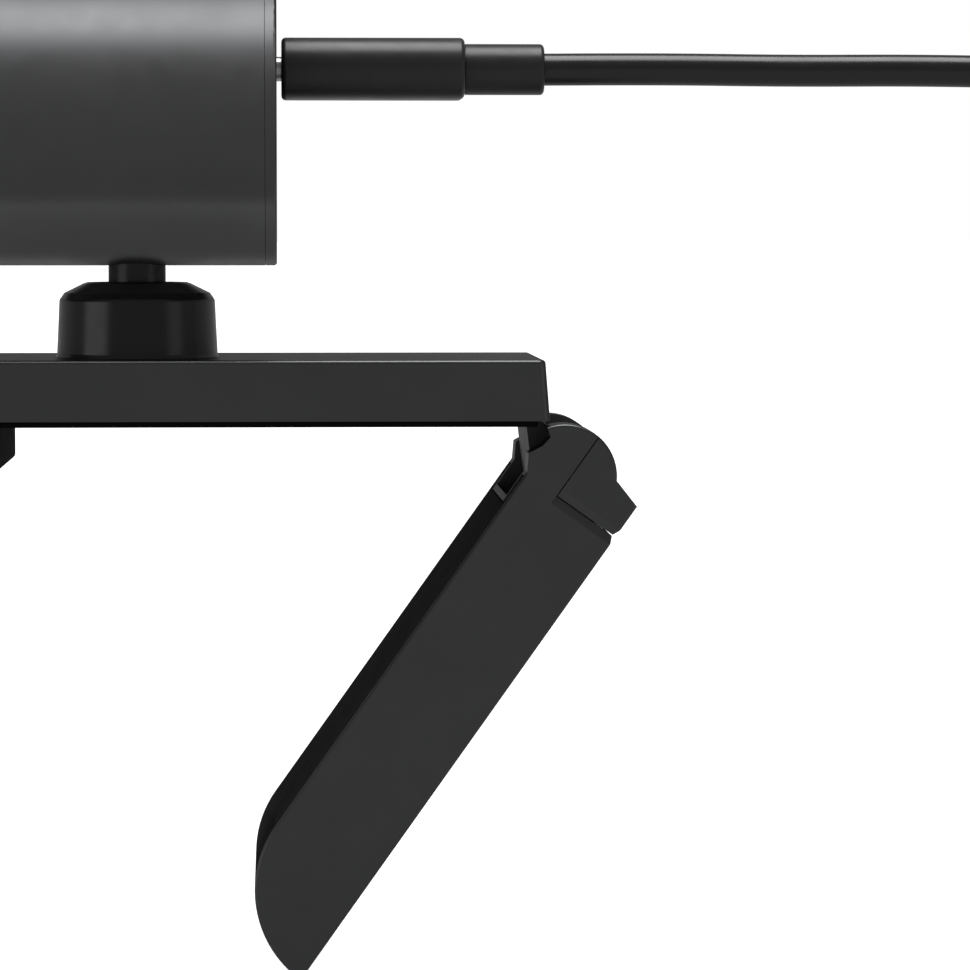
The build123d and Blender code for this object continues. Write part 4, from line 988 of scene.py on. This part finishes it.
    def build_tie(self) -> bpy.types.Object:
        """Makes the tie: a flat band carried once round the bundle of turns.

        The band's path is a rounded rectangle in the plane through the coil's axis, and its section
        is a flat rounded rectangle.

        Returns:
            The tie, with a UV map in metres round and across it.
        """
        angle = np.radians(self.tie_angle)
        outward = np.array([np.cos(angle), np.sin(angle), 0.0])
        across = np.array([-np.sin(angle), np.cos(angle), 0.0])
        up = np.array([0.0, 0.0, 1.0])
        centre_r = self.tie_inset * (self.columns[0] + self.columns[-1]) / 2
        centre = np.array([*self.coil_centre, self.layers[1]]) + centre_r * outward
        section = rounded_loop(self.tie_width, self.tie_thickness, self.tie_edge_r, self.tie_edge_steps)
        loop = rounded_loop(*self.tie_loop, self.tie_corner_r, self.tie_corner_steps)
        before, after = np.roll(loop, 1, axis=0), np.roll(loop, -1, axis=0)
        along = (after - before) / np.linalg.norm(after - before, axis=1, keepdims=True)
        normal = np.stack([along[:, 1], -along[:, 0]], axis=1)
        place = loop[:, None, :] + normal[:, None, :] * section[None, :, 1:2]
        rings = (
            centre
            + place[..., 0:1] * outward
            + place[..., 1:2] * up
            + np.broadcast_to(section[None, :, 0:1], (*place.shape[:2], 1)) * across
        )
        tie = band_piece("coil_tie", rings * MM)
        self.lay_uv(tie, centre * MM, outward, across)
        return tie

    @staticmethod
    def lay_uv(piece: bpy.types.Object, centre: np.ndarray, outward: np.ndarray, across: np.ndarray) -> None:
        """Gives a band its UV map: the way round it from the angle about its centre, and the way across.

        Args:
            piece: the band.
            centre: middle of its path.
            outward: first axis of the path's plane.
            across: the axis across the band.
        """
        mesh = piece.data
        corners = np.empty(len(mesh.loops), np.int32)
        mesh.loops.foreach_get("vertex_index", corners)
        places = np.empty(3 * len(mesh.vertices), np.float32)
        mesh.vertices.foreach_get("co", places)
        offset = places.reshape(-1, 3)[corners] - centre
        first, second = offset @ outward, offset[:, 2]
        round_way = np.abs(first) + np.abs(second)
        uv = np.stack([np.where(first * second > 0, first - second, round_way), offset @ across], axis=1)
        layer = mesh.uv_layers.new(name="band")
        layer.uv.foreach_set("vector", uv.astype(np.float32).ravel())

    def build(self) -> None:
        cord = self.build_cord()
        self.workshop.fit(cord, JACKET, Body.CAMERA, "cord_jacket", ("cord_tube", "cord_coil"))
        tie = self.build_tie()
        self.workshop.fit(tie, TIE, Body.CAMERA, "cord_jacket", ("cable_tie",))


# ---------------------------------------------------------------- pads
@dataclass
class Pads:
    """The rubber pads: under the plate, inside the lip and down the front of the leg."""

    workshop: Workshop
    rounding: float = 0.14 * MM
    rounding_steps: int = 2

    def build(self) -> None:
        """Builds the pads with softly rounded edges and rides each on its body."""
        for name, node, body in (
            ("plate_grip_pad", "clip_pad", Body.CLIP),
            ("lip_grip_pad", "lip_pad", Body.CLIP),
            ("leg_grip_pad", "leg_pad", Body.LEG),
        ):
            pad = softened_copy(name, node, self.rounding, self.rounding_steps)
            self.workshop.fit(pad, RUBBER, body, "pad_rubber", (node,))


def main() -> None:
    """Builds the cord and the pads, dresses the frame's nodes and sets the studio."""
    logging.basicConfig(level=logging.INFO, format="%(name)s: %(message)s", force=True)
    workshop = Workshop()
    DataCord(workshop).build()
    Pads(workshop).build()
    workshop.dress_nodes()
    Studio().build()


if __name__ == "__main__":
    main()
